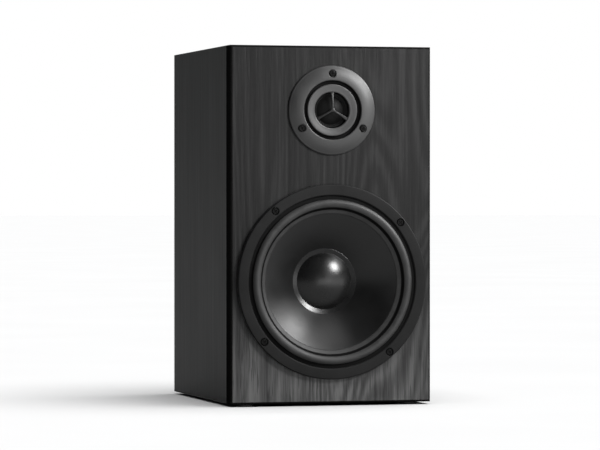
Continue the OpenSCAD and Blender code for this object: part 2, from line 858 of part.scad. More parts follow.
module post_stud(side) {
    color([0.80, 0.65, 0.30]) at_post(side) difference() {
        union() {
            disc(stud_r, stud_tail_y - cup_floor_y, stud_tip_y - cup_floor_y);
            disc(collar_r, 0, collar_t);
        }
        disc(socket_r, stud_tip_y - cup_floor_y - socket_len, stud_tip_y - cup_floor_y + 1);
        translate([0, 0, wire_hole_y - cup_floor_y]) rotate([90, 0, 0])
            cylinder(r = wire_hole_r, h = 2 * stud_r + 2, center = true);
    }
}

module positive_post_stud() {
    post_stud(1);
}

module negative_post_stud() {
    post_stud(-1);
}

module post_nuts() {
    color([0.80, 0.65, 0.30]) for (side = [-1, 1]) at_post(side)
        translate([0, 0, -cup_wall - lug_t - nut_t]) difference() {
            cylinder(r = 5.2, h = nut_t, $fn = 6);
            disc(stud_r, -1, nut_t + 1);
        }
}

module post_solder_lugs() {
    color([0.80, 0.78, 0.70]) for (side = [-1, 1]) at_post(side)
        translate([0, 0, -cup_wall - lug_t]) difference() {
            union() {
                disc(5.4, 0, lug_t);
                translate([-1.8, 0, 0]) cube([3.6, 15, lug_t]);
            }
            disc(stud_r, -1, lug_t + 1);
        }
}

module knob_insert(side) {
    base = insert_y - cup_floor_y;
    color([0.80, 0.65, 0.30]) at_post(side)
        ring(insert_r, stud_r + thread_clearance, base, base + insert_len);
}

module positive_knob_insert() {
    knob_insert(1);
}

module negative_knob_insert() {
    knob_insert(-1);
}

// A grooved grip that holds the insert between two shoulders, open at the tip for a plug
module knob(side) {
    bottom = knob_y - cup_floor_y;
    shoulder = insert_y - cup_floor_y - thread_clearance;
    flutes = 14;
    at_post(side) difference() {
        union() {
            disc(knob_r, bottom, bottom + knob_len - 1);
            translate([0, 0, bottom + knob_len - 1]) cylinder(r1 = knob_r, r2 = knob_r - 1, h = 1);
        }
        disc(stud_r + 0.3, bottom - 1, bottom + knob_len + 1);
        disc(insert_r + thread_clearance, shoulder, shoulder + insert_len + 2 * thread_clearance);
        around(flutes, knob_r + 0.35, 0) disc(0.8, bottom + 2, bottom + knob_len + 1);
    }
}

module positive_knob() {
    color([0.65, 0.05, 0.05]) knob(1);
}

module negative_knob() {
    color([0.05, 0.05, 0.05]) knob(-1);
}

// ---------- Port, wadding and wires ----------

module port_tube() {
    mouth = arc([port_r + port_flare, -port_flare], [port_flare, port_flare], 90, 180, 12);
    color([0.06, 0.06, 0.06]) facing_back(back_board_y + port_flange_t, port_z)
        rotate_extrude() polygon(concat(
            [[port_flange_r, -port_flange_t], [port_flange_r, -0.8], [port_flange_r - 0.8, 0]],
            mouth,
            [[port_r, -port_len], [port_r + port_wall, -port_len], [port_r + port_wall, -port_flare - 4],
                [port_r + 6.8, -port_flare + 2], [port_r + 6.8, -port_flange_t]]
        ));
}

module damping_wadding() {
    top_z = cab_z + cab_h - board_t;
    middle = [0, (top_z + floor_z) / 2];
    color([0.90, 0.90, 0.88]) translate([0, wadding_y[1], 0]) rotate([90, 0, 0])
        linear_extrude(wadding_y[1] - wadding_y[0]) difference() {
            translate(middle) rounded_rect([inner_w, inner_h], 8);
            translate(middle) rounded_rect([inner_w - 2 * wadding_t, inner_h - 2 * wadding_t], 6);
            translate([-inner_w, 0]) square([2 * inner_w, wadding_low_z]);
        }
}

module input_leads() {
    lug_y = cup_floor_y - cup_wall - lug_t - 1.4;
    color([0.55, 0.10, 0.10]) wire([
        [9.5, lug_y, cup_z - 12], [9.5, lug_y - 1, cup_z - 18], [9.5, 76, 60], [9, 77, 45],
        [9, 81, 34], [9, 84, 28], [9, 84, 24], [9, 84, wire_end_z]
    ], wire_r);
    color([0.10, 0.10, 0.10]) wire([
        [-9.5, lug_y, cup_z - 12], [-9.5, lug_y - 1, cup_z - 18], [-7, 76, 60], [-3, 78, 45],
        [-1, 82, 34], [-1, 84, 28], [-1, 84, 24], [-1, 84, wire_end_z]
    ], wire_r);
}

module woofer_leads() {
    route = [
        [11, face_y - strip_z + 1, woofer_z - tag_reach - 3], [11, -50, 36], [11, -42, 30], [11, -25, 27],
        [11, -5, 28], [11, 8, 30], [11, 13, 27], [11, 13, 24], [11, 13, wire_end_z]
    ];
    color([0.10, 0.10, 0.10]) {
        wire(route, wire_r);
        wire([for (p = route) flip_x(p)], wire_r);
    }
}

module tweeter_leads() {
    tag_z = tweeter_z - t_tag_r - 0.25;
    start_y = face_y - t_tag_z;
    color([0.10, 0.10, 0.10]) {
        wire([
            [4, start_y, tag_z], [4, -85.5, tag_z], [4, -83, tag_z], [1, -77, 224], [-12, -67, 217],
            [-30, -54, 205], [-46, -36, 184], [-54, -14, 150], [-54, 4, 112], [-51, 12, 70],
            [-42, 13, 42], [-31, 13, 33], [-28, 13, 28], [-28, 13, 25], [-28, 13, wire_end_z]
        ], wire_r);
        wire([
            [-4, start_y, tag_z], [-4, -85.5, tag_z], [-4, -83, tag_z], [-8, -77, 225], [-20, -67, 219],
            [-36, -54, 207], [-52, -36, 186], [-59, -14, 152], [-59, 4, 112], [-56, 12, 70],
            [-48, 13, 42], [-37, 13, 33], [-34, 13, 28], [-34, 13, 25], [-34, 13, wire_end_z]
        ], wire_r);
    }
}

left_side_panel();
right_side_panel();
top_panel();
bottom_panel();
back_panel();
front_baffle();
rubber_feet();
woofer_gasket();
woofer_basket();
woofer_trim_ring();
woofer_surround();
woofer_cone();
woofer_dust_cap();
woofer_spider();
woofer_coil_former();
woofer_voice_coil();
woofer_top_plate();
woofer_magnet();
woofer_pole_yoke();
woofer_terminal_strip();
woofer_terminal_tags();
woofer_tinsel_leads();
woofer_screws();
tweeter_gasket();
tweeter_faceplate();
tweeter_guard();
tweeter_dome();
tweeter_dome_surround();
tweeter_voice_coil();
tweeter_carrier_ring();
tweeter_top_plate();
tweeter_magnet();
tweeter_pole_yoke();
tweeter_terminal_tags();
tweeter_screws();
crossover_board();
crossover_spacers();
crossover_screws();
woofer_inductor_bobbin();
woofer_inductor_winding();
tweeter_inductor_winding();
woofer_capacitor();
tweeter_capacitor();
tweeter_resistor();
terminal_cup();
terminal_cup_gasket();
terminal_cup_screws();
positive_post_stud();
negative_post_stud();
post_nuts();
post_solder_lugs();
positive_knob_insert();
negative_knob_insert();
positive_knob();
negative_knob();
port_tube();
input_leads();
woofer_leads();
tweeter_leads();
damping_wadding();
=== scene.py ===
"""Looks of a two-way bookshelf loudspeaker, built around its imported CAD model.

The front faces -Y. Outlines and sizes are in millimetres and become metres where a mesh is made; places
are in metres. Heights run outwards from the face that a piece sits in.
"""

from math import acos, cos, degrees, hypot, pi, radians, sin, sqrt, tan

import bmesh
import bpy
from mathutils import Matrix, Vector, noise


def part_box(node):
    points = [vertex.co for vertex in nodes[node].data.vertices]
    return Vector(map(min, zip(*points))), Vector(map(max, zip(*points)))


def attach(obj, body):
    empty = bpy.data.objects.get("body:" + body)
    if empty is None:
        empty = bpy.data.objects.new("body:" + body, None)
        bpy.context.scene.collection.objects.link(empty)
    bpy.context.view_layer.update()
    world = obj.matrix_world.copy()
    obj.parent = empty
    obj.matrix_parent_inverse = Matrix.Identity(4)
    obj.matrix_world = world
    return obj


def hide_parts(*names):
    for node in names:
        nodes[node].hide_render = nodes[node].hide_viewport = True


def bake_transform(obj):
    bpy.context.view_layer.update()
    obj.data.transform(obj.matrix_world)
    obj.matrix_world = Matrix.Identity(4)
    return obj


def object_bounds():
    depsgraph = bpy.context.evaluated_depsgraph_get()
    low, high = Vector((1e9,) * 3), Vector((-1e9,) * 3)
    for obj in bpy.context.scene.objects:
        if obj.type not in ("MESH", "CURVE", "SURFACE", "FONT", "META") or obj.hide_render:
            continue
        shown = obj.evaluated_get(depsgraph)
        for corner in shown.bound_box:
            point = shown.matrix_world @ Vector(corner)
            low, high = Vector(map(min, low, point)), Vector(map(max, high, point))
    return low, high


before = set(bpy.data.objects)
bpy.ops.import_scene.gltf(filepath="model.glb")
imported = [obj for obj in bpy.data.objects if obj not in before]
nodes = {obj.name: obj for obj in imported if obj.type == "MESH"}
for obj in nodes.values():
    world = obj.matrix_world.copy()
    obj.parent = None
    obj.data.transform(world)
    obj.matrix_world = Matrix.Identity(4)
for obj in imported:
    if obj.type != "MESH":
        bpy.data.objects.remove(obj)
cad_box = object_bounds()

MM = 0.001


# ---------- Places that come from the frame ----------


def mm(x, y, z):
    return Vector((x, y, z)) * MM


def middle(node):
    low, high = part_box(node)
    return (low + high) / 2


FACE_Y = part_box("front_baffle")[0].y
WOOFER = Vector((0, FACE_Y, middle("woofer_cone").z))
TWEETER = Vector((0, FACE_Y, middle("tweeter_dome").z))
PORT = Vector((0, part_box("port_tube")[1].y, middle("port_tube").z))
CUP = Vector((0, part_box("terminal_cup")[1].y, middle("terminal_cup").z))
MIDDLE = Vector((0, (cad_box[0].y + cad_box[1].y) / 2, (cad_box[0].z + cad_box[1].z) / 2))


# ---------- Mesh helpers ----------


def weld(mesh, distance=1e-6):
    """Joins points that coincide, drops what has no area and turns the faces outwards."""
    bm = bmesh.new()
    bm.from_mesh(mesh)
    bmesh.ops.remove_doubles(bm, verts=bm.verts, dist=distance)
    bmesh.ops.dissolve_degenerate(bm, edges=bm.edges, dist=distance)
    bmesh.ops.delete(bm, geom=[e for e in bm.edges if not e.link_faces], context="EDGES")
    bmesh.ops.recalc_face_normals(bm, faces=bm.faces)
    bm.to_mesh(mesh)
    bm.free()


def shade(obj, sharp=35):
    """Smooth shading, apart from edges that turn by more than sharp degrees."""
    obj.data.shade_smooth()
    obj.data.set_sharp_from_angle(angle=radians(sharp))


def add_object(name, data):
    obj = bpy.data.objects.new(name, data)
    bpy.context.scene.collection.objects.link(obj)
    return obj


def circle(count):
    """Cosine and sine of each step of a full turn."""
    angles = [2 * pi * k / count for k in range(count)]
    return [(cos(a), sin(a)) for a in angles]


def loft(name, rings, closed=False, sharp=35):
    """Skins rings of equally many points, capped at both ends or closed into a loop."""
    count = len(rings[0])
    faces = []
    for i in range(len(rings) if closed else len(rings) - 1):
        a, b = i * count, (i + 1) % len(rings) * count
        for k in range(count):
            n = (k + 1) % count
            faces.append((a + k, a + n, b + n, b + k))
    if not closed:
        last = (len(rings) - 1) * count
        faces += [tuple(range(count)), tuple(range(last, last + count))]
    mesh = bpy.data.meshes.new(name)
    mesh.from_pydata([tuple(p) for ring in rings for p in ring], [], faces)
    weld(mesh, 1e-7)
    obj = add_object(name, mesh)
    shade(obj, sharp)
    return obj


def lathe(name, profile, origin, out=-1, steps=160, sharp=35):
    """Turns a closed outline of (radius, height) about Y; heights grow to the front, or back if out is 1."""
    rings = []
    for r, h in profile:
        y = origin.y + out * h * MM
        rings.append([(origin.x + r * MM * c, y, origin.z + r * MM * s) for c, s in circle(steps)])
    return loft(name, rings, closed=True, sharp=sharp)


def upright(name, profile, origin, axis, steps=96):
    """A lathe about X, Y or Z; heights grow along it."""
    obj = lathe(name, profile, Vector((0, 0, 0)), out=1, steps=steps)
    angle, about = {"X": (-90, "Z"), "Y": (0, "X"), "Z": (90, "X")}[axis]
    obj.data.transform(Matrix.Translation(origin) @ Matrix.Rotation(radians(angle), 4, about))
    return obj


def arc(centre, radii, start, end, steps):
    """Points of an elliptical arc between two angles in degrees."""
    points = []
    for i in range(steps + 1):
        a = radians(start + (end - start) * i / steps)
        points.append((centre[0] + radii[0] * cos(a), centre[1] + radii[1] * sin(a)))
    return points


def rounded_rect(width, height, radius, steps=8):
    """Points (x, z) about the origin."""
    points = []
    for sx, sz, start in ((1, 1, 0), (-1, 1, 90), (-1, -1, 180), (1, -1, 270)):
        centre = (sx * (width / 2 - radius), sz * (height / 2 - radius))
        points += arc(centre, (radius, radius), start, start + 90, steps)
    return points


def smooth(points, steps):
    """A finer route through the points, on a Catmull-Rom curve."""
    route = []
    for i in range(len(points) - 1):
        a, b = points[max(i - 1, 0)], points[i]
        c, d = points[i + 1], points[min(i + 2, len(points) - 1)]
        for k in range(steps):
            t = k / steps
            square = (2 * a - 5 * b + 4 * c - d) * t * t
            cube = (3 * b - a - 3 * c + d) * t**3
            route.append(0.5 * (2 * b + (c - a) * t + square + cube))
    route.append(points[-1])
    return route


def tube(name, points, radius, sides, steps=8):
    """A round tube on a smooth route through points, without twist."""
    route = smooth(points, steps)
    rings = []
    up = Vector((1, 0, 0))
    for i, p in enumerate(route):
        along = (route[min(i + 1, len(route) - 1)] - route[max(i - 1, 0)]).normalized()
        up = (up - along * up.dot(along)).normalized()
        side = along.cross(up)
        rings.append([p + radius * (c * up + s * side) for c, s in circle(sides)])
    return loft(name, rings)


def join(name, objects, sharp=35):
    """Joins objects into the first one."""
    bm = bmesh.new()
    for obj in objects:
        bm.from_mesh(obj.data)
    for obj in objects[1:]:
        bpy.data.objects.remove(obj)
    bm.to_mesh(objects[0].data)
    bm.free()
    objects[0].name = name
    shade(objects[0], sharp)
    return objects[0]


def carve(obj, tools, operation="DIFFERENCE", sharp=35):
    """Applies an exact boolean with each tool, then removes the tool."""
    for tool in tools:
        cut = obj.modifiers.new("cut", "BOOLEAN")
        cut.solver = "EXACT"
        cut.operation = operation
        cut.object = tool
        bpy.context.view_layer.update()
        mesh = bpy.data.meshes.new_from_object(obj.evaluated_get(bpy.context.evaluated_depsgraph_get()))
        obj.modifiers.remove(cut)
        obj.data = mesh
        bpy.data.objects.remove(tool)
    weld(obj.data, 5e-6)
    shade(obj, sharp)


def around(centre, radius, count, start):
    """Places spread evenly around centre, the first at an angle in degrees."""
    for i in range(count):
        a = radians(start + 360 * i / count)
        yield centre + mm(radius * cos(a), 0, radius * sin(a))


def radius_of(place, centre):
    """Distance in mm from the axis along Y through centre."""
    return hypot(place.x - centre.x, place.z - centre.z) / MM


def dress(obj, finish, body, *replaced, slot=None):
    """Material, body (none leaves the piece unattached), slot (not used) and CAD nodes."""
    obj.data.materials.clear()
    obj.data.materials.append(MATERIALS[finish])
    if body:
        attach(obj, body)
    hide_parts(*replaced)


def repaint(obj, finish, centre, *spans):
    """A second material for the faces between pairs of radii."""
    obj.data.materials.append(MATERIALS[finish])
    for face in obj.data.polygons:
        reach = radius_of(face.center, centre)
        if any(low < reach < high for low, high in spans):
            face.material_index = 1


def blend_ring(obj):
    """Bakes the ring's place into its mesh."""
    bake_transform(obj)


# ---------- Materials ----------

MATERIALS = {}


class Finish:
    """A node material on object coordinates in metres, kept in MATERIALS."""

    def __init__(self, name, spec=0.5, **sockets):
        self.material = bpy.data.materials.new(name)
        MATERIALS[name] = self.material
        self.material.use_nodes = True
        self.tree = self.material.node_tree
        self.shader = self.tree.nodes["Principled BSDF"]
        self.shader.inputs["Specular IOR Level"].default_value = spec
        for socket, value in sockets.items():
            self.shader.inputs[socket.replace("_", " ")].default_value = value
        self.place = self.tree.nodes.new("ShaderNodeTexCoord").outputs["Object"]

    def put(self, socket, value):
        """Links a socket's value, or sets a constant."""
        if isinstance(value, bpy.types.NodeSocket):
            self.tree.links.new(value, socket)
        else:
            socket.default_value = value

    def node(self, kind, inputs, **settings):
        made = self.tree.nodes.new("ShaderNode" + kind)
        for name, value in settings.items():
            setattr(made, name, value)
        for name, value in inputs.items():
            self.put(made.inputs[name], value)
        return made

    def noise(self, scale, stretch=(1, 1, 1), detail=3, rough=0.5, distortion=0.0):
        stretched = self.node("Mapping", {"Vector": self.place, "Scale": stretch}).outputs[0]
        inputs = {"Vector": stretched, "Scale": scale, "Detail": detail, "Roughness": rough}
        return self.node("TexNoise", inputs | {"Distortion": distortion}).outputs[0]

    def cells(self, scale):
        return self.node("TexVoronoi", {"Vector": self.place, "Scale": scale}).outputs["Distance"]

    def wave(self, scale, direction, distortion, detail=2, detail_scale=1.0, kind="BANDS", place=None):
        settings = {"wave_type": kind, kind.lower() + "_direction": direction}
        inputs = {"Vector": place or self.place, "Scale": scale, "Distortion": distortion}
        inputs |= {"Detail": detail, "Detail Scale": detail_scale}
        return self.node("TexWave", inputs, **settings).outputs["Fac"]

    def math(self, operation, a, b):
        return self.node("Math", {0: a, 1: b}, operation=operation).outputs[0]

    def total(self, *parts):
        """The sum of (value, weight) pairs."""
        result = None
        for part in parts:
            product = self.math("MULTIPLY", *part)
            result = self.math("ADD", result, product) if result else product
        return result

    def span(self, value, low, high, start=0.3, end=0.7):
        """Maps value from start..end to low..high."""
        inputs = {"Value": value, "From Min": start, "From Max": end, "To Min": low, "To Max": high}
        return self.node("MapRange", inputs).outputs[0]

    def ramp(self, value, *stops):
        """A colour ramp; each stop is (position, colour)."""
        made = self.node("ValToRGB", {"Fac": value})
        elements = made.color_ramp.elements
        while len(elements) < len(stops):
            elements.new(0.5)
        for element, (position, colour) in zip(elements, stops):
            element.position = position
            element.color = (*colour, 1)
        return made.outputs["Color"]

    def mix(self, share, a, b):
        """Blends colour sockets; b may be a plain colour."""
        b = b if isinstance(b, bpy.types.NodeSocket) else (*b, 1)
        return self.node("Mix", {0: share, 6: a, 7: b}, data_type="RGBA").outputs[2]

    def surface(self, colour, roughness, *bumps):
        """Colour, roughness unless it is None, and stacked bumps, each a (height, depth in mm)."""
        self.put(self.shader.inputs["Base Color"], colour)
        if roughness:
            self.put(self.shader.inputs["Roughness"], roughness)
        normal = {}
        for height, depth in bumps:
            inputs = {"Height": height, "Distance": depth * MM, "Strength": 1.0}
            normal = {"Normal": self.node("Bump", inputs | normal).outputs[0]}
        if bumps:
            self.put(self.shader.inputs["Normal"], normal["Normal"])


def grey(value, tint=(1, 1, 1)):
    return tuple(value * t for t in tint)


def times(colour, factor):
    return tuple(min(c * factor, 1) for c in colour)


def ash_laminate():
    """Black ash: fibres, pores and faint arched growth lines, with painted floor light that pales it at the
    foot.
    """
    f = Finish("ash_laminate", spec=0.12)
    figure = f.noise(9.0, (1.1, 1, 0.2), detail=1.5, rough=0.45, distortion=0.3)
    arches = f.node("CombineXYZ", {"X": figure}).outputs[0]
    rings = f.math("SUBTRACT", f.wave(12.0, "X", 0.4, detail=1, place=arches), 0.5)
    shown = f.span(f.noise(6.0, (1, 1, 0.4), detail=1), 0.03, 0.17, 0.35, 0.65)
    bands = f.noise(170.0, (1, 1, 0.025), detail=2)
    streaks = f.noise(520.0, (1, 1, 0.022), detail=4, rough=0.62)
    fibres = f.noise(1700.0, (1, 1, 0.03), rough=0.6)
    pore = f.span(f.noise(900.0, (1, 1, 0.045), detail=2), 0, 1, 0.56, 0.66)
    grain = f.total((rings, shown), (bands, 0.34), (streaks, 0.46), (fibres, 0.20))
    dark = f.ramp(grain, (0.36, grey(0.0006)), (0.50, grey(0.0025)), (0.62, grey(0.0064)))
    pale = f.ramp(grain, (0.36, grey(0.011)), (0.50, grey(0.026)), (0.62, grey(0.045)))
    # Painted floor light: towards the foot the grain turns from its dark tones to its pale ones
    height = f.node("SeparateXYZ", {"Vector": f.place}).outputs[2]
    foot = f.math("ADD", height, f.span(f.noise(14.0, detail=1), -0.02, 0.02, 0, 1))
    face = f.mix(f.span(foot, 1.0, 0.0, 0.01, 0.11), dark, pale)
    colour = f.mix(f.math("MULTIPLY", pore, 0.6), face, grey(0.003))
    gloss = f.span(grain, 0.50, 0.40, 0.35, 0.65)
    f.surface(colour, gloss, (streaks, 0.05), (f.math("SUBTRACT", 1.0, pore), 0.03), (bands, 0.03))


def edge_paint():
    """Matt black paint over the grain of the board."""
    f = Finish("edge_paint", spec=0.0)
    board = f.noise(700.0, detail=4, rough=0.65)
    colour = f.ramp(board, (0.3, grey(0.002)), (0.8, grey(0.005)))
    f.surface(colour, f.span(board, 0.62, 0.74), (board, 0.02))


def vinyl_wrap(name, along, tint=(0.95, 1.03, 0.98), spec=0.14, rough=0.50):
    """Dark vinyl with a faint straight grain along one axis."""
    f = Finish(name, spec=spec)
    streaks = f.noise(380.0, [0.016 if axis == along else 1 for axis in "XYZ"], detail=4, rough=0.6)
    fibres = f.noise(1400.0, [0.04 if axis == along else 1 for axis in "XYZ"], detail=2)
    clouds = f.span(f.noise(11.0, detail=2), -0.05, 0.05)
    grain = f.math("ADD", f.total((streaks, 0.75), (fibres, 0.25)), clouds)
    tones = [grey(value, tint) for value in (0.0035, 0.006, 0.0105)]
    colour = f.ramp(grain, *zip((0.30, 0.52, 0.78), tones))
    f.surface(colour, f.span(grain, rough + 0.10, rough, 0.3, 0.8), (streaks, 0.045), (fibres, 0.012))


def moulded(name, base, rough, spec=0.5, grain=0.010, scale=2200.0, speck=0.25):
    """Moulded plastic, rubber or powder coat with an even texture and cloudy gloss."""
    f = Finish(name, spec=spec)
    clouds = f.noise(55.0)
    tone = f.total((clouds, 0.6), (f.noise(14.0, (1, 1, 2.5), detail=2, distortion=0.8), 0.4))
    colour = f.ramp(tone, (0.32, times(base, 1 - speck)), (0.68, times(base, 1 + speck)))
    gloss = f.span(clouds, rough - 0.05, rough + 0.06)
    f.surface(colour, gloss, (f.noise(scale, detail=2, rough=0.6), grain))


def metal(name, base, rough, stain=None):
    """Metal with fine scratches and a patchy tone."""
    f = Finish(name, Metallic=1.0)
    patches = f.noise(60.0, detail=4, rough=0.6)
    scratches = f.noise(900.0, (1, 0.06, 1), rough=0.7)
    colour = f.ramp(patches, (0.34, stain or times(base, 0.72)), (0.62, base))
    f.surface(colour, f.span(scratches, rough - 0.07, rough + 0.10), (scratches, 0.004))


def foam(name, base):
    """Closed-cell foam with small pits."""
    f = Finish(name, spec=0.25, Roughness=0.92)
    pits = f.cells(1300.0)
    f.surface(f.ramp(pits, (0.0, times(base, 0.45)), (0.7, base)), None, (pits, 0.12))


def cone_polymer():
    """Satin polymer with concentric tooling marks."""
    f = Finish("cone_polymer", spec=0.27)
    centred = f.node("VectorMath", {0: f.place, 1: tuple(-WOOFER)}, operation="ADD").outputs[0]
    tooling = f.wave(260.0, "Y", 0.35, detail_scale=0.6, kind="RINGS", place=centred)
    clouds = f.noise(38.0, detail=4, rough=0.55)
    colour = f.ramp(clouds, (0.30, grey(0.0010)), (0.70, grey(0.0020)))
    gloss = f.span(clouds, 0.33, 0.43)
    f.surface(colour, gloss, (tooling, 0.006), (f.noise(1800.0, detail=2), 0.004))


def clouded(name, low, high, rough, scale, stops, grain, depth, soft=0.5, **sockets):
    """A smooth skin with a cloudy tone and gloss."""
    f = Finish(name, **sockets)
    clouds = f.noise(scale, detail=4, rough=soft)
    colour = f.ramp(clouds, *zip(stops, (low, high)))
    f.surface(colour, f.span(clouds, *rough), (f.noise(grain, detail=2), depth))


def woven(name, low, high, thread=1400.0, rough=0.85, depth=0.05, sheen=0.2, spec=0.3):
    """A plain weave of two crossing sets of threads."""
    f = Finish(name, spec=spec, Roughness=rough, Sheen_Weight=sheen, Sheen_Roughness=0.5)
    warp, weft = [f.wave(thread / 6.28, axis, 0.6, detail=1) for axis in "XZ"]
    cloth = f.math("MAXIMUM", warp, weft)
    tone = f.total((cloth, 0.6), (f.noise(70.0), 0.4))
    f.surface(f.ramp(tone, (0.25, low), (0.85, high)), None, (cloth, depth))


def circuit_board():
    """Green solder mask over copper tracks."""
    f = Finish("circuit_board", spec=0.5)
    layout = {"Mortar Size": 0.10, "Mortar Smooth": 0.05, "Brick Width": 0.9, "Row Height": 0.55}
    tracks = f.node("TexBrick", {"Vector": f.place, "Scale": 60.0, **layout}).outputs["Fac"]
    track = f.math("MULTIPLY", tracks, f.span(f.noise(24.0, detail=1), 0, 1, 0.46, 0.54))
    weave = f.noise(1600.0, detail=1)
    mask = f.ramp(weave, (0.3, (0.006, 0.055, 0.016)), (0.8, (0.012, 0.10, 0.03)))
    gloss = f.span(weave, 0.26, 0.38)
    f.surface(f.mix(track, mask, (0.06, 0.24, 0.06)), gloss, (track, 0.035), (weave, 0.008))


def sintered(name, base, scale, rough):
    """Fired ceramic with grains and a chalky dust."""
    f = Finish(name, spec=0.35)
    grains = f.cells(scale)
    dust = f.noise(42.0, detail=5, rough=0.65)
    tone = f.total((grains, 0.45), (dust, 0.6))
    colour = f.ramp(tone, (0.25, times(base, 0.6)), (0.80, times(base, 1.3)))
    f.surface(colour, f.span(dust, rough - 0.08, rough + 0.08), (grains, 0.05), (dust, 0.04))


def wadding_fibre():
    """Matted polyester fibre, with painted shade that greys its hollows."""
    f = Finish("wadding_fibre", spec=0.2, Roughness=0.95, Sheen_Weight=0.5, Sheen_Roughness=0.6)
    strands = f.noise(420.0, (1, 0.25, 1), detail=5, rough=0.7, distortion=1.6)
    crossed = f.noise(520.0, (0.3, 1, 1), detail=4, rough=0.7, distortion=1.2)
    tufts = f.noise(45.0)
    # Painted shade: the noises that sink the surface also grey its colour
    tone = f.total((strands, 0.5), (crossed, 0.3), (tufts, 0.25))
    colour = f.ramp(tone, (0.34, grey(0.42)), (0.52, grey(0.70)), (0.70, grey(0.86, (1, 1, 0.98))))
    f.surface(colour, None, (tufts, 0.9), (strands, 0.35), (crossed, 0.25))


def braided(name, base):
    """A twisted bundle of fine bare strands."""
    f = Finish(name, Metallic=1.0)
    twist = f.wave(700.0, "DIAGONAL", 0.8)
    colour = f.ramp(twist, (0.2, times(base, 0.45)), (0.7, base))
    f.surface(colour, f.span(twist, 0.45, 0.28, 0, 1), (twist, 0.12))


def make_materials():
    ash_laminate()
    edge_paint()
    vinyl_wrap("vinyl_wrap_side", "Z")
    vinyl_wrap("vinyl_wrap_top", "X", spec=0.06, rough=0.72)
    vinyl_wrap("back_vinyl", "Z", tint=(0.6, 0.62, 0.6))
    # Name, colour, roughness, specular, depth and scale of the grain, speckle of the colour
    # Near-black for painted shade in the surround's valleys and the faceplate's groove
    moulded("painted_shade_black", grey(0.002), 0.7, 0.03)
    moulded("foot_rubber", grey(0.018), 0.72, 0.4, 0.02, 1500.0)
    moulded("black_steel", grey(0.016), 0.42, 0.55, 0.014, 1700.0)
    moulded("trim_plastic", grey(0.0045), 0.52, 0.06, 0.012, 1800.0)
    moulded("black_screws", grey(0.0015), 0.5, 0.06, 0.004)
    moulded("faceplate_plastic", grey(0.0055), 0.46, 0.34, 0.005, 2400.0)
    moulded("guard_plastic", grey(0.010), 0.42, 0.38, 0.006, 2400.0)
    moulded("gloss_plastic", grey(0.002), 0.36, 0.22, 0.003, 2400.0)
    moulded("moulded_black", grey(0.017), 0.48, 0.5, 0.022, 1300.0)
    moulded("phenolic_board", (0.20, 0.095, 0.035), 0.5, 0.5, 0.015, 1200.0, 0.35)
    moulded("nylon", (0.72, 0.71, 0.65), 0.45, speck=0.1)
    moulded("blue_sleeve", (0.020, 0.035, 0.16), 0.30, 0.6, 0.006)
    moulded("yellow_film", (0.62, 0.36, 0.05), 0.26, 0.6, 0.006)
    moulded("red_plastic", (0.42, 0.012, 0.012), 0.30, 0.6, 0.006, speck=0.15)
    moulded("black_plastic", grey(0.012), 0.30, 0.6, 0.006)
    moulded("wire_insulation", grey(0.014), 0.46, scale=1400.0)
    moulded("wire_insulation_red", (0.36, 0.014, 0.012), 0.46, scale=1400.0)
    foam("black_foam", grey(0.015))
    cone_polymer()
    dark, pale = grey(0.0009), grey(0.0018)
    clouded("cap_gloss", dark, pale, (0.24, 0.31), 60.0, (0.30, 0.70), 1500.0, 0.003, spec=0.26)
    dark, pale = grey(0.0084), grey(0.014175)
    clouded("surround_rubber", dark, pale, (0.46, 0.58), 90.0, (0.35, 0.72), 900.0, 0.002, 0.65, spec=0.19)
    dark, pale = (0.42, 0.14, 0.05), (0.78, 0.34, 0.14)
    varnish = {"Metallic": 0.85, "Coat_Weight": 0.6, "Coat_Roughness": 0.15}
    clouded("copper_wire", dark, pale, (0.22, 0.36), 140.0, (0.32, 0.68), 900.0, 0.01, **varnish)
    woven("spider_cloth", (0.30, 0.19, 0.06), (0.66, 0.47, 0.20))
    woven("dome_silk", grey(0.001), grey(0.0025), 5200.0, rough=0.48, depth=0.012, sheen=0.0, spec=0.05)
    metal("former_aluminium", (0.80, 0.80, 0.80), 0.34)
    metal("zinc_steel", (0.72, 0.71, 0.66), 0.36, stain=(0.60, 0.56, 0.42))
    metal("tinned_brass", (0.76, 0.74, 0.68), 0.30)
    metal("gold_brass", (0.86, 0.62, 0.25), 0.22, stain=(0.74, 0.50, 0.18))
    braided("tinsel_braid", (0.80, 0.50, 0.30))
    sintered("ferrite", grey(0.055), 700.0, 0.62)
    sintered("cement", (0.62, 0.60, 0.55), 1100.0, 0.85)
    circuit_board()
    wadding_fibre()


# The CAD nodes that stay, by material
CAD_FINISHES = {
    "vinyl_wrap_side": "left_side_panel right_side_panel",
    "vinyl_wrap_top": "top_panel bottom_panel",
    "back_vinyl": "back_panel",
    "foot_rubber": "rubber_feet",
    "black_foam": "woofer_gasket tweeter_gasket terminal_cup_gasket",
    "black_steel": "woofer_basket",
    "former_aluminium": "woofer_coil_former",
    "zinc_steel": "woofer_top_plate woofer_pole_yoke tweeter_top_plate tweeter_pole_yoke crossover_screws",
    "ferrite": "woofer_magnet tweeter_magnet",
    "phenolic_board": "woofer_terminal_strip",
    "tinned_brass": "woofer_terminal_tags tweeter_terminal_tags post_solder_lugs",
    "black_screws": "woofer_screws tweeter_screws terminal_cup_screws",
    "moulded_black": "tweeter_carrier_ring woofer_inductor_bobbin",
    "circuit_board": "crossover_board",
    "nylon": "crossover_spacers",
    "cement": "tweeter_resistor",
    "gold_brass": "positive_post_stud negative_post_stud positive_knob_insert negative_knob_insert post_nuts",
}


def dress_cad_nodes():
    for finish, names in CAD_FINISHES.items():
        for name in names.split():
            mesh = nodes[name].data
            mesh.materials.clear()
            mesh.materials.append(MATERIALS[finish])


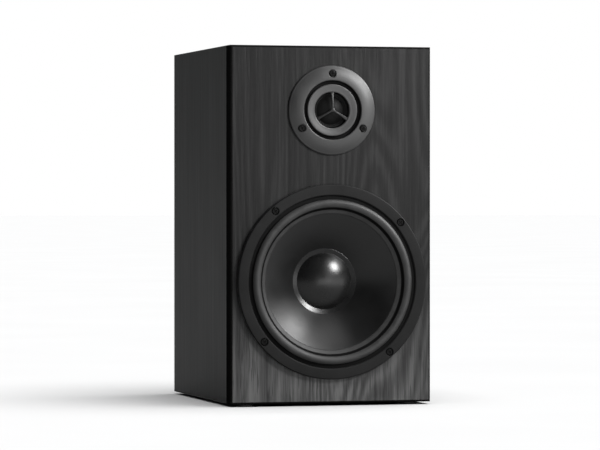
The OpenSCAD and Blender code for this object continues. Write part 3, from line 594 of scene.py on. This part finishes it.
def make_baffle():
    """The CAD shape, with laminate on its face and paint everywhere else."""
    obj = add_object("baffle", nodes["front_baffle"].data.copy())
    weld(obj.data)
    shade(obj, 3)
    dress(obj, "ash_laminate", "cabinet", "front_baffle", slot="baffle_woodgrain")
    obj.data.materials.append(MATERIALS["edge_paint"])
    for face in obj.data.polygons:
        on_face = face.normal.y < -0.99 and face.center.y < FACE_Y + 0.1 * MM
        face.material_index = 0 if on_face else 1


# ---------- Woofer ----------

# Radii and heights, as the CAD has them
FLANGE_R = 83.5
TRIM_TOP = 4.6
TRIM_INNER = 73.9
STEEL_TOP = 2.2
LANDING = 0.6
LANDING_R = 75.4
CREST_R = 67.4
ROLL_INNER_HALF = 4.7
ROLL_OUTER_HALF = 3.7
ROLL_H = 4.6
CONE_EDGE = 61.8
CONE_TOP = STEEL_TOP - LANDING
ROLL_FOOT = 58.4
FORMER_R = 13.0
CAP_R = 25.7
CAP_H = 8.5
GLUE_INNER = 24.3
GLUE_OUTER = 28.3
SCREW_CIRCLE = 79.0
SPIDER_LOW = -45.6
SPIDER_R = 48.6
STRIP_H = -46.8


def cone_height(r):
    t = (CONE_EDGE - r) / (CONE_EDGE - FORMER_R)
    return CONE_TOP - 28 * t - 9.6 * t * t


def cone_line(start, end, lift, steps):
    """Points along the cone's front, lifted off it."""
    radii = [start + (end - start) * i / steps for i in range(steps + 1)]
    return [(r, cone_height(r) + lift) for r in radii]


def make_cone():
    front = cone_line(FORMER_R, CONE_EDGE, 0, 48)
    back = cone_line(CONE_EDGE, FORMER_R + 2.5, -1.0, 32)
    neck, wall, depth = cone_height(FORMER_R), 0.8, 4
    collar = [(FORMER_R + wall, neck - 1.6), (FORMER_R + wall, neck - depth), (FORMER_R, neck - depth)]
    obj = lathe("cone", front + back + collar, WOOFER, steps=192, sharp=40)
    dress(obj, "cone_polymer", "woofer_moving", "woofer_cone")


def make_dust_cap():
    """A domed cap in a shallow fillet of glue."""
    wall = 0.8
    sphere = (CAP_R**2 + CAP_H**2) / (2 * CAP_H)
    centre = cone_height(CAP_R) + CAP_H - sphere
    start = degrees(acos(GLUE_INNER / sphere))
    dome = arc((0, centre), (sphere, sphere), start, 90, 40)
    under = [(r, h - wall) for r, h in reversed(dome)]
    foot = cone_line(CAP_R - 0.6, GLUE_OUTER, 0.02, 1)
    glue_low = cone_height(GLUE_OUTER) + 0.05
    glue_high = centre + sqrt(sphere**2 - GLUE_INNER**2)
    fillet = [(GLUE_OUTER - 0.1, glue_low), (GLUE_INNER + 0.1, glue_high + 0.02)]
    obj = lathe("dust_cap", under + foot + fillet + dome[1:], WOOFER, sharp=20)
    dress(obj, "cap_gloss", "woofer_moving", "woofer_dust_cap")


def roll(inset, end_inner, end_outer, steps):
    """The roll's arch from its outer to its inner foot, inset by a wall's thickness."""
    outer = arc((CREST_R, STEEL_TOP), (ROLL_OUTER_HALF - inset, ROLL_H - inset), end_outer, 90, steps)
    inner = arc((CREST_R, STEEL_TOP), (ROLL_INNER_HALF - inset, ROLL_H - inset), 90, end_inner, steps)
    return outer + inner[1:]


def make_surround():
    """A rubber half roll, glued to the cone and clamped under the trim ring; painted shade darkens the
    valleys on both sides of its crest.
    """
    under = cone_line(ROLL_FOOT, CONE_EDGE, 0.03, 6)
    over = cone_line(CONE_EDGE, ROLL_FOOT + 0.5, LANDING, 6)
    lip = [(ROLL_FOOT + 0.1, cone_height(ROLL_FOOT) + 0.4)]
    low_roll = list(reversed(roll(LANDING, 176, 0, 16)))
    high_roll = roll(0, 172, 8, 20)
    roll_end = CREST_R + ROLL_OUTER_HALF
    shelf_h = STEEL_TOP + LANDING
    shelf = [(LANDING_R, STEEL_TOP), (LANDING_R, shelf_h), (roll_end + 0.1, shelf_h)]
    profile = under + low_roll + shelf + high_roll + over + lip
    obj = lathe("surround", profile, WOOFER, steps=224, sharp=60)
    dress(obj, "surround_rubber", None, "woofer_surround")
    # Painted shade: the roll's valleys, inside and outside its crest, get the near-black material
    inner_valley_shade, outer_valley_shade = (CONE_EDGE - 0.2, CREST_R - 3.6), (CREST_R + 3.1, LANDING_R + 1)
    repaint(obj, "painted_shade_black", WOOFER, inner_valley_shade, outer_valley_shade)
    blend_ring(obj)


def make_trim_ring():
    """The ring over the flange, with rounded edges and four chamfered screw holes."""
    profile = (
        [(LANDING_R, STEEL_TOP), (FLANGE_R, STEEL_TOP)]
        + arc((FLANGE_R - 1.1, TRIM_TOP - 1.1), (1.1, 1.1), 0, 90, 8)
        + [(78.9, TRIM_TOP - 0.02)]
        + arc((TRIM_INNER + 1.3, TRIM_TOP - 1.3), (1.3, 1.3), 90, 180, 8)
        + [(TRIM_INNER, STEEL_TOP + LANDING), (LANDING_R, STEEL_TOP + LANDING)]
    )
    obj = lathe("trim_ring", profile, WOOFER, steps=224)
    hole_r, chamfer = 3.4, 0.35
    hole = [(0, 0), (hole_r, 0), (hole_r, TRIM_TOP - chamfer)]
    hole += [(hole_r + 2 * chamfer, TRIM_TOP + chamfer), (0, TRIM_TOP + chamfer)]
    carve(obj, [lathe("hole", hole, p, steps=40) for p in around(WOOFER, SCREW_CIRCLE, 4, 40)])
    dress(obj, "trim_plastic", "cabinet", "woofer_trim_ring")


def make_spider():
    """Corrugated cloth between the coil's former and the basket."""
    thick, waves, wave_h, first, last, steps = 0.6, 5, 1.5, 15.0, 40.0, 90
    web = []
    for i in range(steps + 1):
        r = first + (last - first) * i / steps
        web.append((r, SPIDER_LOW + wave_h * sin(2 * pi * waves * i / steps)))
    top = [(r, h + thick) for r, h in reversed(web)]
    neck_low, neck_high = SPIDER_LOW - 0.6, SPIDER_LOW + 1.8
    under = [(FORMER_R + 0.02, neck_low), (FORMER_R + 1, neck_low)] + web + [(SPIDER_R, SPIDER_LOW)]
    over = [(SPIDER_R, SPIDER_LOW + thick)] + top + [(FORMER_R + 1, neck_high), (FORMER_R + 0.02, neck_high)]
    obj = lathe("spider", under + over, WOOFER, steps=128, sharp=50)
    dress(obj, "spider_cloth", None, "woofer_spider")
    blend_ring(obj)


def scalloped(inner, outer, low, high, turns):
    """Outline of a winding: a plain bore and a bulge for each turn."""
    pitch = (high - low) / turns
    bulges = []
    for i in range(turns):
        centre = (outer - pitch / 2, low + (i + 0.5) * pitch)
        bulges += arc(centre, (pitch / 2, pitch / 2), -80, 80, 6)
    return [(inner, low)] + bulges + [(inner, high)]


def heights(node):
    """Lowest and highest height of a node over the baffle's face."""
    low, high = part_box(node)
    return (FACE_Y - high.y) / MM, (FACE_Y - low.y) / MM


def make_voice_coils():
    low, high = heights("woofer_voice_coil")
    coil = lathe("woofer_coil", scalloped(13.01, 13.9, low, high, 30), WOOFER, steps=96)
    dress(coil, "copper_wire", "woofer_moving", "woofer_voice_coil")
    low, high = heights("tweeter_voice_coil")
    sleeve = [(12.46, low), (12.59, low), (12.59, high), (12.46, high)]
    former = lathe("tweeter_former", sleeve, TWEETER, steps=96)
    winding = lathe("tweeter_turns", scalloped(12.6, 12.95, low + 0.2, low + 2.6, 14), TWEETER, steps=96)
    coil = join("tweeter_coil", [former, winding])
    dress(coil, "copper_wire", "tweeter_moving", "tweeter_voice_coil")


def make_tinsel_leads():
    """Braided leads from the cone's back to the terminal strip."""
    # Distance to the side, place above the woofer's axis, height
    route = [(8, -22.6, cone_height(24) - 2.2), (9, -28, -30), (10, -36, -34.5), (11, -44, -38.5)]
    route += [(11, -50, -40.6), (11, -55, -41.8), (11, -58.5, -43.6), (11, -59.5, STRIP_H + 1.2)]
    leads = []
    for side in (-1, 1):
        points = [WOOFER + mm(side * x, -h, z) for x, z, h in route]
        leads.append(tube("lead", points, 0.6 * MM, 10))
    obj = join("tinsel_leads", leads, sharp=60)
    dress(obj, "tinsel_braid", None, "woofer_tinsel_leads")
    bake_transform(obj)


# ---------- Tweeter ----------

# Radii and heights, as the CAD has them
PLATE_R = 38.4
PLATE_CREST = 4.8
PLATE_RIM = 37.0
PLATE_SPIGOT = 27.5
GROOVE_R = 25.2
GROOVE_FLOOR = -0.2
MOUTH_R = 15.4
WEB_TOP = 1.4
GUARD_R = 22.2
GUARD_CROWN = 5.0
DOME_R = 12.6
DOME_H = 5.1
DOME_FOOT = -3.9
DOME_LIP = DOME_R + 0.3
CARRIER_TOP = -4.0
CARRIER_R = 15.8


def plate_curve():
    """The plate's front from the groove to the rim, whose slope grows evenly."""
    first, steepest, steps = 1, 25, 24
    run = (PLATE_RIM - GROOVE_R - 1.0) / steps
    curve = [(GROOVE_R + 1.0, PLATE_CREST)]
    for i in range(steps):
        slope = first + (steepest - first) * (i + 0.5) / steps
        r, h = curve[-1]
        curve.append((r + run, h - run * tan(radians(slope))))
    return curve


def make_faceplate():
    """A plate that curves down to its rim, with a deep groove around the guard; painted shade darkens the
    groove's walls and floor.
    """
    curve = plate_curve()
    edge, rim_h = 0.95, curve[-1][1]
    profile = (
        [(MOUTH_R + 0.6, -3.6), (PLATE_SPIGOT, -3.6), (PLATE_SPIGOT, 0.6)]
        + [(PLATE_R - 0.3, 0.6), (PLATE_R, 0.9)]
        + arc((PLATE_RIM - 0.2, edge), (PLATE_R - PLATE_RIM + 0.2, rim_h - edge), 0, 66, 10)
        + list(reversed(curve))
        + arc((GROOVE_R + 1.0, PLATE_CREST - 1.0), (1.0, 1.0), 95, 180, 8)
        + [(GROOVE_R, GROOVE_FLOOR + 0.3), (GROOVE_R - 0.3, GROOVE_FLOOR)]
        + [(GUARD_R - 0.3, GROOVE_FLOOR), (GUARD_R - 0.3, WEB_TOP), (MOUTH_R + 0.6, WEB_TOP)]
    )
    obj = lathe("faceplate", profile, TWEETER, steps=192, sharp=30)
    seat = [(0, -6), (1.7, -6), (1.7, 2.2), (3.5, 2.2), (3.5, 4.1), (4.2, 4.8), (0, 4.8)]
    carve(obj, [lathe("seat", seat, p, steps=40) for p in around(TWEETER, 31.5, 3, 90)], sharp=30)
    dress(obj, "faceplate_plastic", "cabinet", "tweeter_faceplate")
    # Painted shade on the groove's walls and floor
    repaint(obj, "painted_shade_black", TWEETER, (GUARD_R - 1, GROOVE_R + 0.25))


def guard_spoke(angle, arch_r, base):
    """A slim bar, thicker at its root, that arches from the ring to the hub."""
    count, width, thick = 14, 1.7, 1.1
    out = Vector((cos(angle), 0, sin(angle)))
    across = Vector((-sin(angle), 0, cos(angle)))
    rings = []
    for i in range(count + 1):
        r = (MOUTH_R + 0.5) * (1 - i / count) + 0.3 * i / count
        h = base + sqrt(arch_r**2 - r**2) - 0.7
        flare = 1 + 1.1 * (1 - i / count) ** 4
        slope = -r / sqrt(arch_r**2 - r**2)
        raised = (Vector((0, -1, 0)) - out * slope).normalized()
        centre = TWEETER + out * r * MM + mm(0, -h, 0)
        outline = rounded_rect(width * flare, thick, 0.4, steps=3)
        rings.append([centre + (across * x + raised * z) * MM for x, z in outline])
    return loft("spoke", rings)


def make_guard():
    """A satin ring with three gloss spokes and a small hub."""
    rise = GUARD_CROWN - 2.2
    arch_r = (MOUTH_R**2 + rise**2) / (2 * rise)
    profile = (
        [(MOUTH_R, WEB_TOP), (GUARD_R, WEB_TOP)]
        + arc((GUARD_R - 0.6, 2.8), (0.6, 0.6), 0, 90, 6)
        + [(GUARD_R - 1.6, 3.36), (MOUTH_R + 2.6, 2.85)]
        + arc((MOUTH_R + 1.1, 1.75), (1.1, 0.95), 80, 180, 8)
    )
    obj = lathe("guard", profile, TWEETER)
    crown = [(0, 3.8), (1.3, 3.8), (1.8, 4.1), (1.8, 4.5)] + arc((0, 4.5), (1.8, 0.48), 8, 90, 10)
    hub = lathe("hub", crown, TWEETER, steps=48)
    spokes = [guard_spoke(radians(a), arch_r, GUARD_CROWN - arch_r) for a in (90, 210, 330)]
    carve(obj, [hub, *spokes], operation="UNION")
    dress(obj, "guard_plastic", "cabinet", "tweeter_guard")
    repaint(obj, "gloss_plastic", TWEETER, (-1, MOUTH_R - 0.05))


def make_dome():
    sphere = (DOME_R**2 + DOME_H**2) / (2 * DOME_H)
    rim = degrees(acos(DOME_R / sphere))
    outer = arc((0, DOME_FOOT + DOME_H - sphere), (sphere, sphere), rim + 1, 90, 30)
    inner = [(max(r - 0.2, 0), h - 0.32) for r, h in reversed(outer)]
    lip = [(DOME_LIP, DOME_FOOT), (DOME_LIP, DOME_FOOT + 0.35)]
    obj = lathe("dome", inner + lip + outer, TWEETER, steps=96, sharp=60)
    dress(obj, "dome_silk", "tweeter_moving", "tweeter_dome")


def make_dome_surround():
    """A small half roll between the dome's lip and the carrier ring."""
    middle_r = (DOME_LIP + CARRIER_R) / 2
    half = (CARRIER_R - DOME_LIP) / 2
    rim = CARRIER_R + 2.6
    profile = (
        [(DOME_LIP + 0.02, DOME_FOOT)]
        + arc((middle_r, DOME_FOOT), (half - 0.3, 0.9), 176, 4, 16)
        + [(CARRIER_R, CARRIER_TOP), (rim, CARRIER_TOP), (rim, DOME_FOOT + 0.2)]
        + arc((middle_r, DOME_FOOT), (half, 1.2), 10, 170, 20)
        + [(DOME_LIP + 0.02, DOME_FOOT + 0.2)]
    )
    obj = lathe("dome_surround", profile, TWEETER, steps=96, sharp=60)
    dress(obj, "dome_silk", None, "tweeter_dome_surround")
    blend_ring(obj)


# ---------- Rear ----------

CUP_FLANGE = (84, 64)
CUP_OPENING = (62, 42)
CUP_DEPTH = 24
CUP_WALL = 2.5
CUP_SCREWS = (72, 52)
POST_PITCH = 19.05
FLUTES = 14


def make_port():
    """A flared port: flange, trumpet mouth and tube in one."""
    bore, flare, wall, length, flange = 19, 12, 2, 110, 33
    profile = (
        [(flange, -3), (flange, -0.9)]
        + arc((flange - 0.9, -0.9), (0.9, 0.9), 0, 90, 6)
        + arc((bore + flare, -flare), (flare, flare), 90, 180, 28)
        + [(bore, -length + 2)]
        + arc((bore + 1, -length + 1), (1, 1), 180, 360, 8)
        + [(bore + wall, -flare - 4), (bore + 6.8, -flare + 2), (bore + 6.8, -3)]
    )
    obj = lathe("port", profile, PORT, out=1, steps=128, sharp=30)
    dress(obj, "moulded_black", "cabinet", "port_tube")


def cup_ring(size, radius, depth, grow=0.0):
    """A ring of the cup at a depth, grown outwards all round."""
    outline = rounded_rect(size[0] + 2 * grow, size[1] + 2 * grow, radius + grow)
    return [CUP + mm(x, -depth, z) for x, z in outline]


def rounding(radius, step=15):
    """Distances from a rounded edge's side and top, from its side to its top."""
    for turn in range(0, 91, step):
        a = radians(turn)
        yield radius * (1 - cos(a)), radius * (1 - sin(a))


def cup_shell():
    """The cup from its back, around its flange and down to its floor."""
    flange_t, edge, floor_edge, back_edge = 2.5, 0.7, 1.5, 0.8
    outer = (CUP_OPENING[0] + 2 * CUP_WALL, CUP_OPENING[1] + 2 * CUP_WALL)
    back = CUP_DEPTH + CUP_WALL
    rings = [
        cup_ring(outer, 5, back, -back_edge),
        cup_ring(outer, 5, back - back_edge),
        cup_ring(outer, 5, flange_t),
        cup_ring(CUP_FLANGE, 4, flange_t),
    ]
    rings += [cup_ring(CUP_FLANGE, 4, drop, -inset) for inset, drop in rounding(edge)]
    rings += [cup_ring(CUP_OPENING, 3, drop, grow) for drop, grow in rounding(edge)]
    rings += [cup_ring(CUP_OPENING, 3, CUP_DEPTH - rise, -inset) for inset, rise in rounding(floor_edge)]
    return loft("terminal_cup_shell", rings, sharp=30)


def cup_holes():
    """Cutters for four screw seats and two post holes."""
    seat = [(0, -5), (1.6, -5), (1.6, -1.8), (3.1, 0), (3.3, 0.4), (0, 0.4)]
    hole = [(0, -30), (3, -30), (3, -20), (0, -20)]
    cutters = []
    for sx in (-1, 1):
        for sz in (-1, 1):
            place = mm(sx * CUP_SCREWS[0] / 2, 0, sz * CUP_SCREWS[1] / 2)
            cutters.append(lathe("seat", seat, CUP + place, out=1, steps=40))
        cutters.append(lathe("hole", hole, CUP + mm(sx * POST_PITCH / 2, 0, 0), out=1, steps=48))
    return cutters


def bar(width, height, place):
    """A small raised bar with softened edges."""
    rings = []
    for shrink, lift in ((0, -0.3), (0, 0.4), (0.1, 0.5)):
        outline = rounded_rect(width - 2 * shrink, height - 2 * shrink, 0.25, steps=2)
        rings.append([place + mm(x, lift, z) for x, z in outline])
    return loft("bar", rings)


def cup_signs():
    """A plus above the positive post and a minus above the negative one."""
    plus, minus = [CUP + mm(side * POST_PITCH / 2, -CUP_DEPTH, 14) for side in (1, -1)]
    return [bar(5, 1.1, plus), bar(1.1, 5, plus), bar(5, 1.1, minus)]


def make_terminal_cup():
    obj = cup_shell()
    carve(obj, cup_holes(), sharp=30)
    carve(obj, cup_signs(), operation="UNION", sharp=30)
    dress(obj, "moulded_black", "cabinet", "terminal_cup")


def fluted_ring(foot, radius, height, flute=0.0):
    """A ring of a grip at a height, with rounded grooves as deep as flute."""
    count = FLUTES * 10
    points = []
    for k in range(count):
        a = 2 * pi * k / count
        r = radius - flute * max(0.0, cos(FLUTES * a)) ** 1.5
        points.append(foot + mm(r * cos(a), height, r * sin(a)))
    return points


def make_knob(name, finish):
    """A fluted grip with a rounded crown, a plug hole and a seat for its insert."""
    node = name + "_knob"
    low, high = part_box(node)
    foot = Vector(((low.x + high.x) / 2, low.y, (low.z + high.z) / 2))
    length = (high.y - low.y) / MM
    radius = (high.x - low.x) / 2 / MM
    bore, crown = 3.3, 1.6
    seat_r, seat_from, seat_to = 4.25, 0.45, 13.55
    sizes = [(bore, 0.3), (bore + 0.3, 0), (radius - 0.5, 0), (radius, 0.5), (radius, 1.7)]
    sizes += [(radius, 2.3, 0.35), (radius, 3.2, 0.75), (radius, length - 4.5, 0.75)]
    sizes += [(radius, length - 2.2, 0.7)]
    for k, (inset, drop) in enumerate(rounding(crown, 18)):
        sizes.append((radius - inset, length - drop, 0.55 * (1 - k / 5)))
    sizes += [(bore + 0.4, length), (bore, length - 0.4)]
    sizes += [(bore, seat_to), (seat_r, seat_to), (seat_r, seat_from), (bore, seat_from)]
    obj = loft(name + "_grip", [fluted_ring(foot, *size) for size in sizes], closed=True, sharp=40)
    dress(obj, finish, name + "_post_knob", node)


# ---------- Inside: crossover, wires and wadding ----------


def make_choke(name, node, axis, turns, bore=None, clear=0.0):
    """A winding with one bulge to each turn; its bore is half its radius if not given."""
    low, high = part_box(node)
    k = "XYZ".index(axis)
    base = (low + high) / 2
    base[k] = low[k]
    depth = (high[k] - low[k]) / MM
    radius = (high.x - low.x) / 2 / MM
    outline = scalloped(bore or radius / 2, radius, clear, depth - clear, turns)
    coil = upright(name, outline, base, axis)
    dress(coil, "copper_wire", "cabinet", node)


def can_profile(r, half, crimp):
    """A can with dished ends and rolled edges, and perhaps a crimped groove near one end."""
    profile = [(0, -half + 0.9), (r * 0.62, -half + 0.9), (r * 0.68, -half + 0.3)]
    profile += arc((r - 0.9, -half + 0.9), (0.9, 0.9), 250, 360, 6)
    if crimp:
        groove = arc((r, -half + 3.6), (0.8, 0.8), 260, 100, 8)
        profile += [(min(x, r), y) for x, y in groove]
    profile += arc((r - 0.9, half - 0.9), (0.9, 0.9), 0, 110, 6)
    return profile + [(r * 0.68, half - 0.3), (r * 0.62, half - 0.9), (0, half - 0.9)]


def make_capacitor(node, name, finish, crimp):
    """A lying can with a wire bent down to the board at each end."""
    low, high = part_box(node)
    wire_r, wire_reach = 0.45, 3.45
    radius = (high.y - low.y) / 2
    half = (high.x - low.x) / MM / 2 - wire_reach
    centre = Vector(((low.x + high.x) / 2, (low.y + high.y) / 2, low.z + radius))
    can = upright(name, can_profile(radius / MM, half, crimp), centre, "X", steps=72)
    bends = [(-1.5, 0), (1.6, 0), (2.7, -0.5), (3.0, -2.2), (3.0, (low.z - centre.z) / MM)]
    wires = []
    for side in (-1, 1):
        route = [centre + mm(side * (half + out), 0, up) for out, up in bends]
        wires.append(tube("wire", route, wire_r * MM, 10, steps=5))
    legs = join(name + "_legs", wires, sharp=60)
    dress(can, finish, "cabinet", node)
    dress(legs, "tinned_brass", "cabinet")


def lead_routes(board):
    """Routes in mm of the input, woofer and tweeter pairs, down to the board."""
    lug_y, lug_z = CUP.y / MM - CUP_DEPTH - CUP_WALL - 2.2, CUP.z / MM - 12
    red = [(9.5, lug_y, lug_z), (9.5, lug_y - 1, lug_z - 6), (9.5, 76, 60), (9, 77, 45)]
    red += [(9, 81, 34), (9, 84, 28), (9, 84, 24), (9, 84, board)]
    black = [(-9.5, lug_y, lug_z), (-9.5, lug_y - 1, lug_z - 6), (-7, 76, 60), (-3, 78, 45)]
    black += [(-1, 82, 34), (-1, 84, 28), (-1, 84, 24), (-1, 84, board)]
    woofer = [(11, FACE_Y / MM - STRIP_H + 1, WOOFER.z / MM - 65), (11, -50, 36), (11, -42, 30)]
    woofer += [(11, -25, 27), (11, -5, 28), (11, 8, 30), (11, 13, 27), (11, 13, 24), (11, 13, board)]
    tag_y, tag_z = FACE_Y / MM + 14, TWEETER.z / MM - 26.25
    right = [(4, tag_y, tag_z), (4, -85.5, tag_z), (4, -83, tag_z), (1, -77, 224), (-12, -67, 217)]
    right += [(-30, -54, 205), (-46, -36, 184), (-54, -14, 150), (-54, 4, 112), (-51, 12, 70)]
    right += [(-42, 13, 42), (-31, 13, 33), (-28, 13, 28), (-28, 13, 25), (-28, 13, board)]
    left = [(-4, tag_y, tag_z), (-4, -85.5, tag_z), (-4, -83, tag_z), (-8, -77, 225), (-20, -67, 219)]
    left += [(-36, -54, 207), (-52, -36, 186), (-59, -14, 152), (-59, 4, 112), (-56, 12, 70)]
    left += [(-48, 13, 42), (-37, 13, 33), (-34, 13, 28), (-34, 13, 25), (-34, 13, board)]
    return (red, black), (woofer, [(-x, y, z) for x, y, z in woofer]), (right, left)


def make_leads():
    """Insulated leads, each a tube along the route of its CAD solid."""
    pairs = []
    for routes in lead_routes(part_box("crossover_board")[1].z / MM):
        pairs.append([tube("lead", [mm(*p) for p in route], 1.1 * MM, 14) for route in routes])
    (red, black), *drivers = pairs
    red.name, black.name = "input_lead_red", "input_lead_black"
    insulation = "wire_insulation"
    dress(red, "wire_insulation_red", "cabinet", "input_leads", slot=insulation)
    dress(black, insulation, "cabinet", "input_leads")
    for driver, pair in zip(("woofer", "tweeter"), drivers):
        dress(join(driver + "_lead_pair", pair, sharp=60), insulation, "cabinet", driver + "_leads")


def wadding_line(half, low, top, corner):
    """Places and inward directions up one side, across the top and down again."""
    steps_up, steps_round, steps_across = 54, 8, 40
    bend = Vector((corner - half, 0, top - corner))
    side = []
    for i in range(steps_up + 1):
        side.append((Vector((-half, 0, low + (bend.z - low) * i / steps_up)), Vector((1, 0, 0))))
    for i in range(1, steps_round):
        a = pi / 2 * i / steps_round
        normal = Vector((cos(a), 0, -sin(a)))
        side.append((bend - normal * corner, normal))
    roof = []
    for i in range(steps_across + 1):
        roof.append((Vector((bend.x * (1 - 2 * i / steps_across), 0, top)), Vector((0, 0, -1))))
    return side + roof + [(Vector((-p.x, 0, p.z)), Vector((-n.x, 0, n.z))) for p, n in reversed(side)]


def wadding_rings(line, start, end, thick, clear):
    """Rings from front to back, each along the boards and back on the lumpy skin."""
    steps = 44
    seed = Vector((3.1, 7.7, 1.9))
    rings = []
    for j in range(steps + 1):
        y = start + (end - start) * j / steps
        outside, inside = [], []
        for i, (p, n) in enumerate(line):
            edge = min(min(j, steps - j) / 4, min(i, len(line) - 1 - i) / 3, 1)
            body = sqrt(max(0.0, 1 - (1 - edge) ** 2))
            place = Vector((p.x, y, p.z))
            lump = noise.fractal(place * 55 + seed, 0.9, 2.1, 4)
            tuft = noise.noise(place * 260 + seed)
            depth = thick * (0.82 + 0.13 * lump + 0.05 * tuft) * (0.35 + 0.65 * body)
            outside.append(place + n * thick * 0.16 * (1 - body))
            inside.append(place + n * min(depth, thick - clear))
        rings.append(outside + inside[::-1])
    return rings


def make_wadding():
    """A lining of matted fibre on both sides and the top, lumpy inside and flat on the boards."""
    low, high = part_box("damping_wadding")
    thick, clear, corner = 10 * MM, 0.2 * MM, 8 * MM
    line = wadding_line((high.x - low.x) / 2 - clear, low.z, high.z - clear, corner)
    obj = loft("wadding", wadding_rings(line, low.y + clear, high.y - clear, thick, clear), sharp=80)
    dress(obj, "wadding_fibre", "cabinet", "damping_wadding", slot="polyester_wadding")


# ---------- Room ----------

# Name, direction, distance, size and power of each light on the speaker, and the rays it leaves out
LIGHTS = (
    ("key", (0.577, -0.685, 0.451), 1.7, (0.40, 0.40), 54, None),
    ("high_right", (0.82, -0.16, 0.55), 1.7, (0.7, 0.6), 53, "diffuse"),
    ("front_fill", (-0.36, -0.93, -0.10), 2.2, (1.0, 1.0), 48, "glossy"),
    ("front_right", (0.36, -0.93, 0.06), 2.4, (0.7, 1.0), 4.5, None),
    ("overhead", (0.22, -0.33, 0.92), 1.8, (0.9, 0.7), 8, None),
    ("rear", (0.6, 0.75, 0.4), 2.2, (0.9, 0.9), 22, None),
    ("top_glow", (0.10, -0.86, 0.49), 0.29, (0.24, 0.02), 0.8, "glossy"),
    ("front_low", (0.3, -0.6, -0.2), 0.75, (1.0, 0.5), 5, None),
)


def placed(name, data, place, way):
    """A light or camera at a place, looking along a direction."""
    obj = add_object(name, data)
    obj.location = place
    obj.rotation_mode = "QUATERNION"
    obj.rotation_quaternion = way.to_track_quat("-Z", "Y")
    return obj


def make_floor():
    """A plain pale floor, a hair below the feet."""
    half, drop = 40.0, -0.0002
    mesh = bpy.data.meshes.new("studio_floor")
    corners = [(x * half, y * half, drop) for x, y in ((-1, -1), (1, -1), (1, 1), (-1, 1))]
    mesh.from_pydata(corners, [], [(0, 1, 2, 3)])
    floor = add_object("studio_floor", mesh)
    f = Finish("studio_paper", spec=0.1, Roughness=0.9)
    f.surface(f.ramp(f.noise(3.0, detail=2), (0.3, grey(0.79)), (0.7, grey(0.81))), None)
    mesh.materials.append(f.material)
    return floor


def floor_group(name, floor, state):
    """A light-linking group that holds the floor alone."""
    group = bpy.data.collections.new(name)
    group.objects.link(floor)
    group.collection_objects[0].light_linking.link_state = state
    return group


def make_lights(group):
    for name, direction, distance, size, power, left_out in LIGHTS:
        data = bpy.data.lights.new(name, "AREA")
        data.shape = "RECTANGLE"
        data.size, data.size_y = size
        data.energy = power
        way = Vector(direction).normalized()
        light = placed(name, data, MIDDLE + way * distance, -way)
        light.visible_camera = False
        light.light_linking.receiver_collection = group
        if left_out:
            setattr(light, "visible_" + left_out, False)


def make_floor_light(group):
    data = bpy.data.lights.new("floor_light", "SUN")
    data.energy = 3.9
    data.angle = radians(60)
    light = placed("floor_light", data, (0, 0, 0), Vector((-0.2, 0.15, -0.95)))
    light.light_linking.receiver_collection = group


def make_world():
    """White for the camera, and dim for the gloss to reflect."""
    world = bpy.data.worlds.new("studio")
    world.use_nodes = True
    tree = world.node_tree
    mix = tree.nodes.new("ShaderNodeMixShader")
    tree.links.new(tree.nodes.new("ShaderNodeLightPath").outputs["Is Camera Ray"], mix.inputs[0])
    for k, (colour, strength) in enumerate((((0.93, 0.96, 1, 1), 0.08), ((1, 1, 1, 1), 1.0))):
        sky = tree.nodes.new("ShaderNodeBackground")
        sky.inputs["Color"].default_value = colour
        sky.inputs["Strength"].default_value = strength
        tree.links.new(sky.outputs[0], mix.inputs[1 + k])
    tree.links.new(mix.outputs[0], tree.nodes["World Output"].inputs["Surface"])
    bpy.context.scene.world = world
    bpy.context.scene.view_settings.view_transform = "Standard"


def make_camera():
    """A long lens, a little left of the front."""
    data = bpy.data.cameras.new("camera")
    data.sensor_width = 36
    data.lens = 198
    data.clip_end = 50
    place = Vector((-0.774, -2.82, 0.174))
    bpy.context.scene.camera = placed("camera", data, place, MIDDLE - place)


make_camera()
make_materials()
dress_cad_nodes()
make_baffle()
make_cone()
make_dust_cap()
make_surround()
make_trim_ring()
make_spider()
make_voice_coils()
make_tinsel_leads()
make_faceplate()
make_guard()
make_dome()
make_dome_surround()
make_port()
make_terminal_cup()
make_knob("positive", "red_plastic")
make_knob("negative", "black_plastic")
make_choke("woofer_choke", "woofer_inductor_winding", "Z", 15, bore=9.01, clear=0.01)
make_choke("tweeter_choke", "tweeter_inductor_winding", "Y", 14)
make_capacitor("woofer_capacitor", "woofer_can", "blue_sleeve", crimp=True)
make_capacitor("tweeter_capacitor", "tweeter_can", "yellow_film", crimp=False)
make_leads()
make_wadding()
studio_floor = make_floor()
make_lights(floor_group("speaker_only", studio_floor, "EXCLUDE"))
make_floor_light(floor_group("floor_only", studio_floor, "INCLUDE"))
make_world()
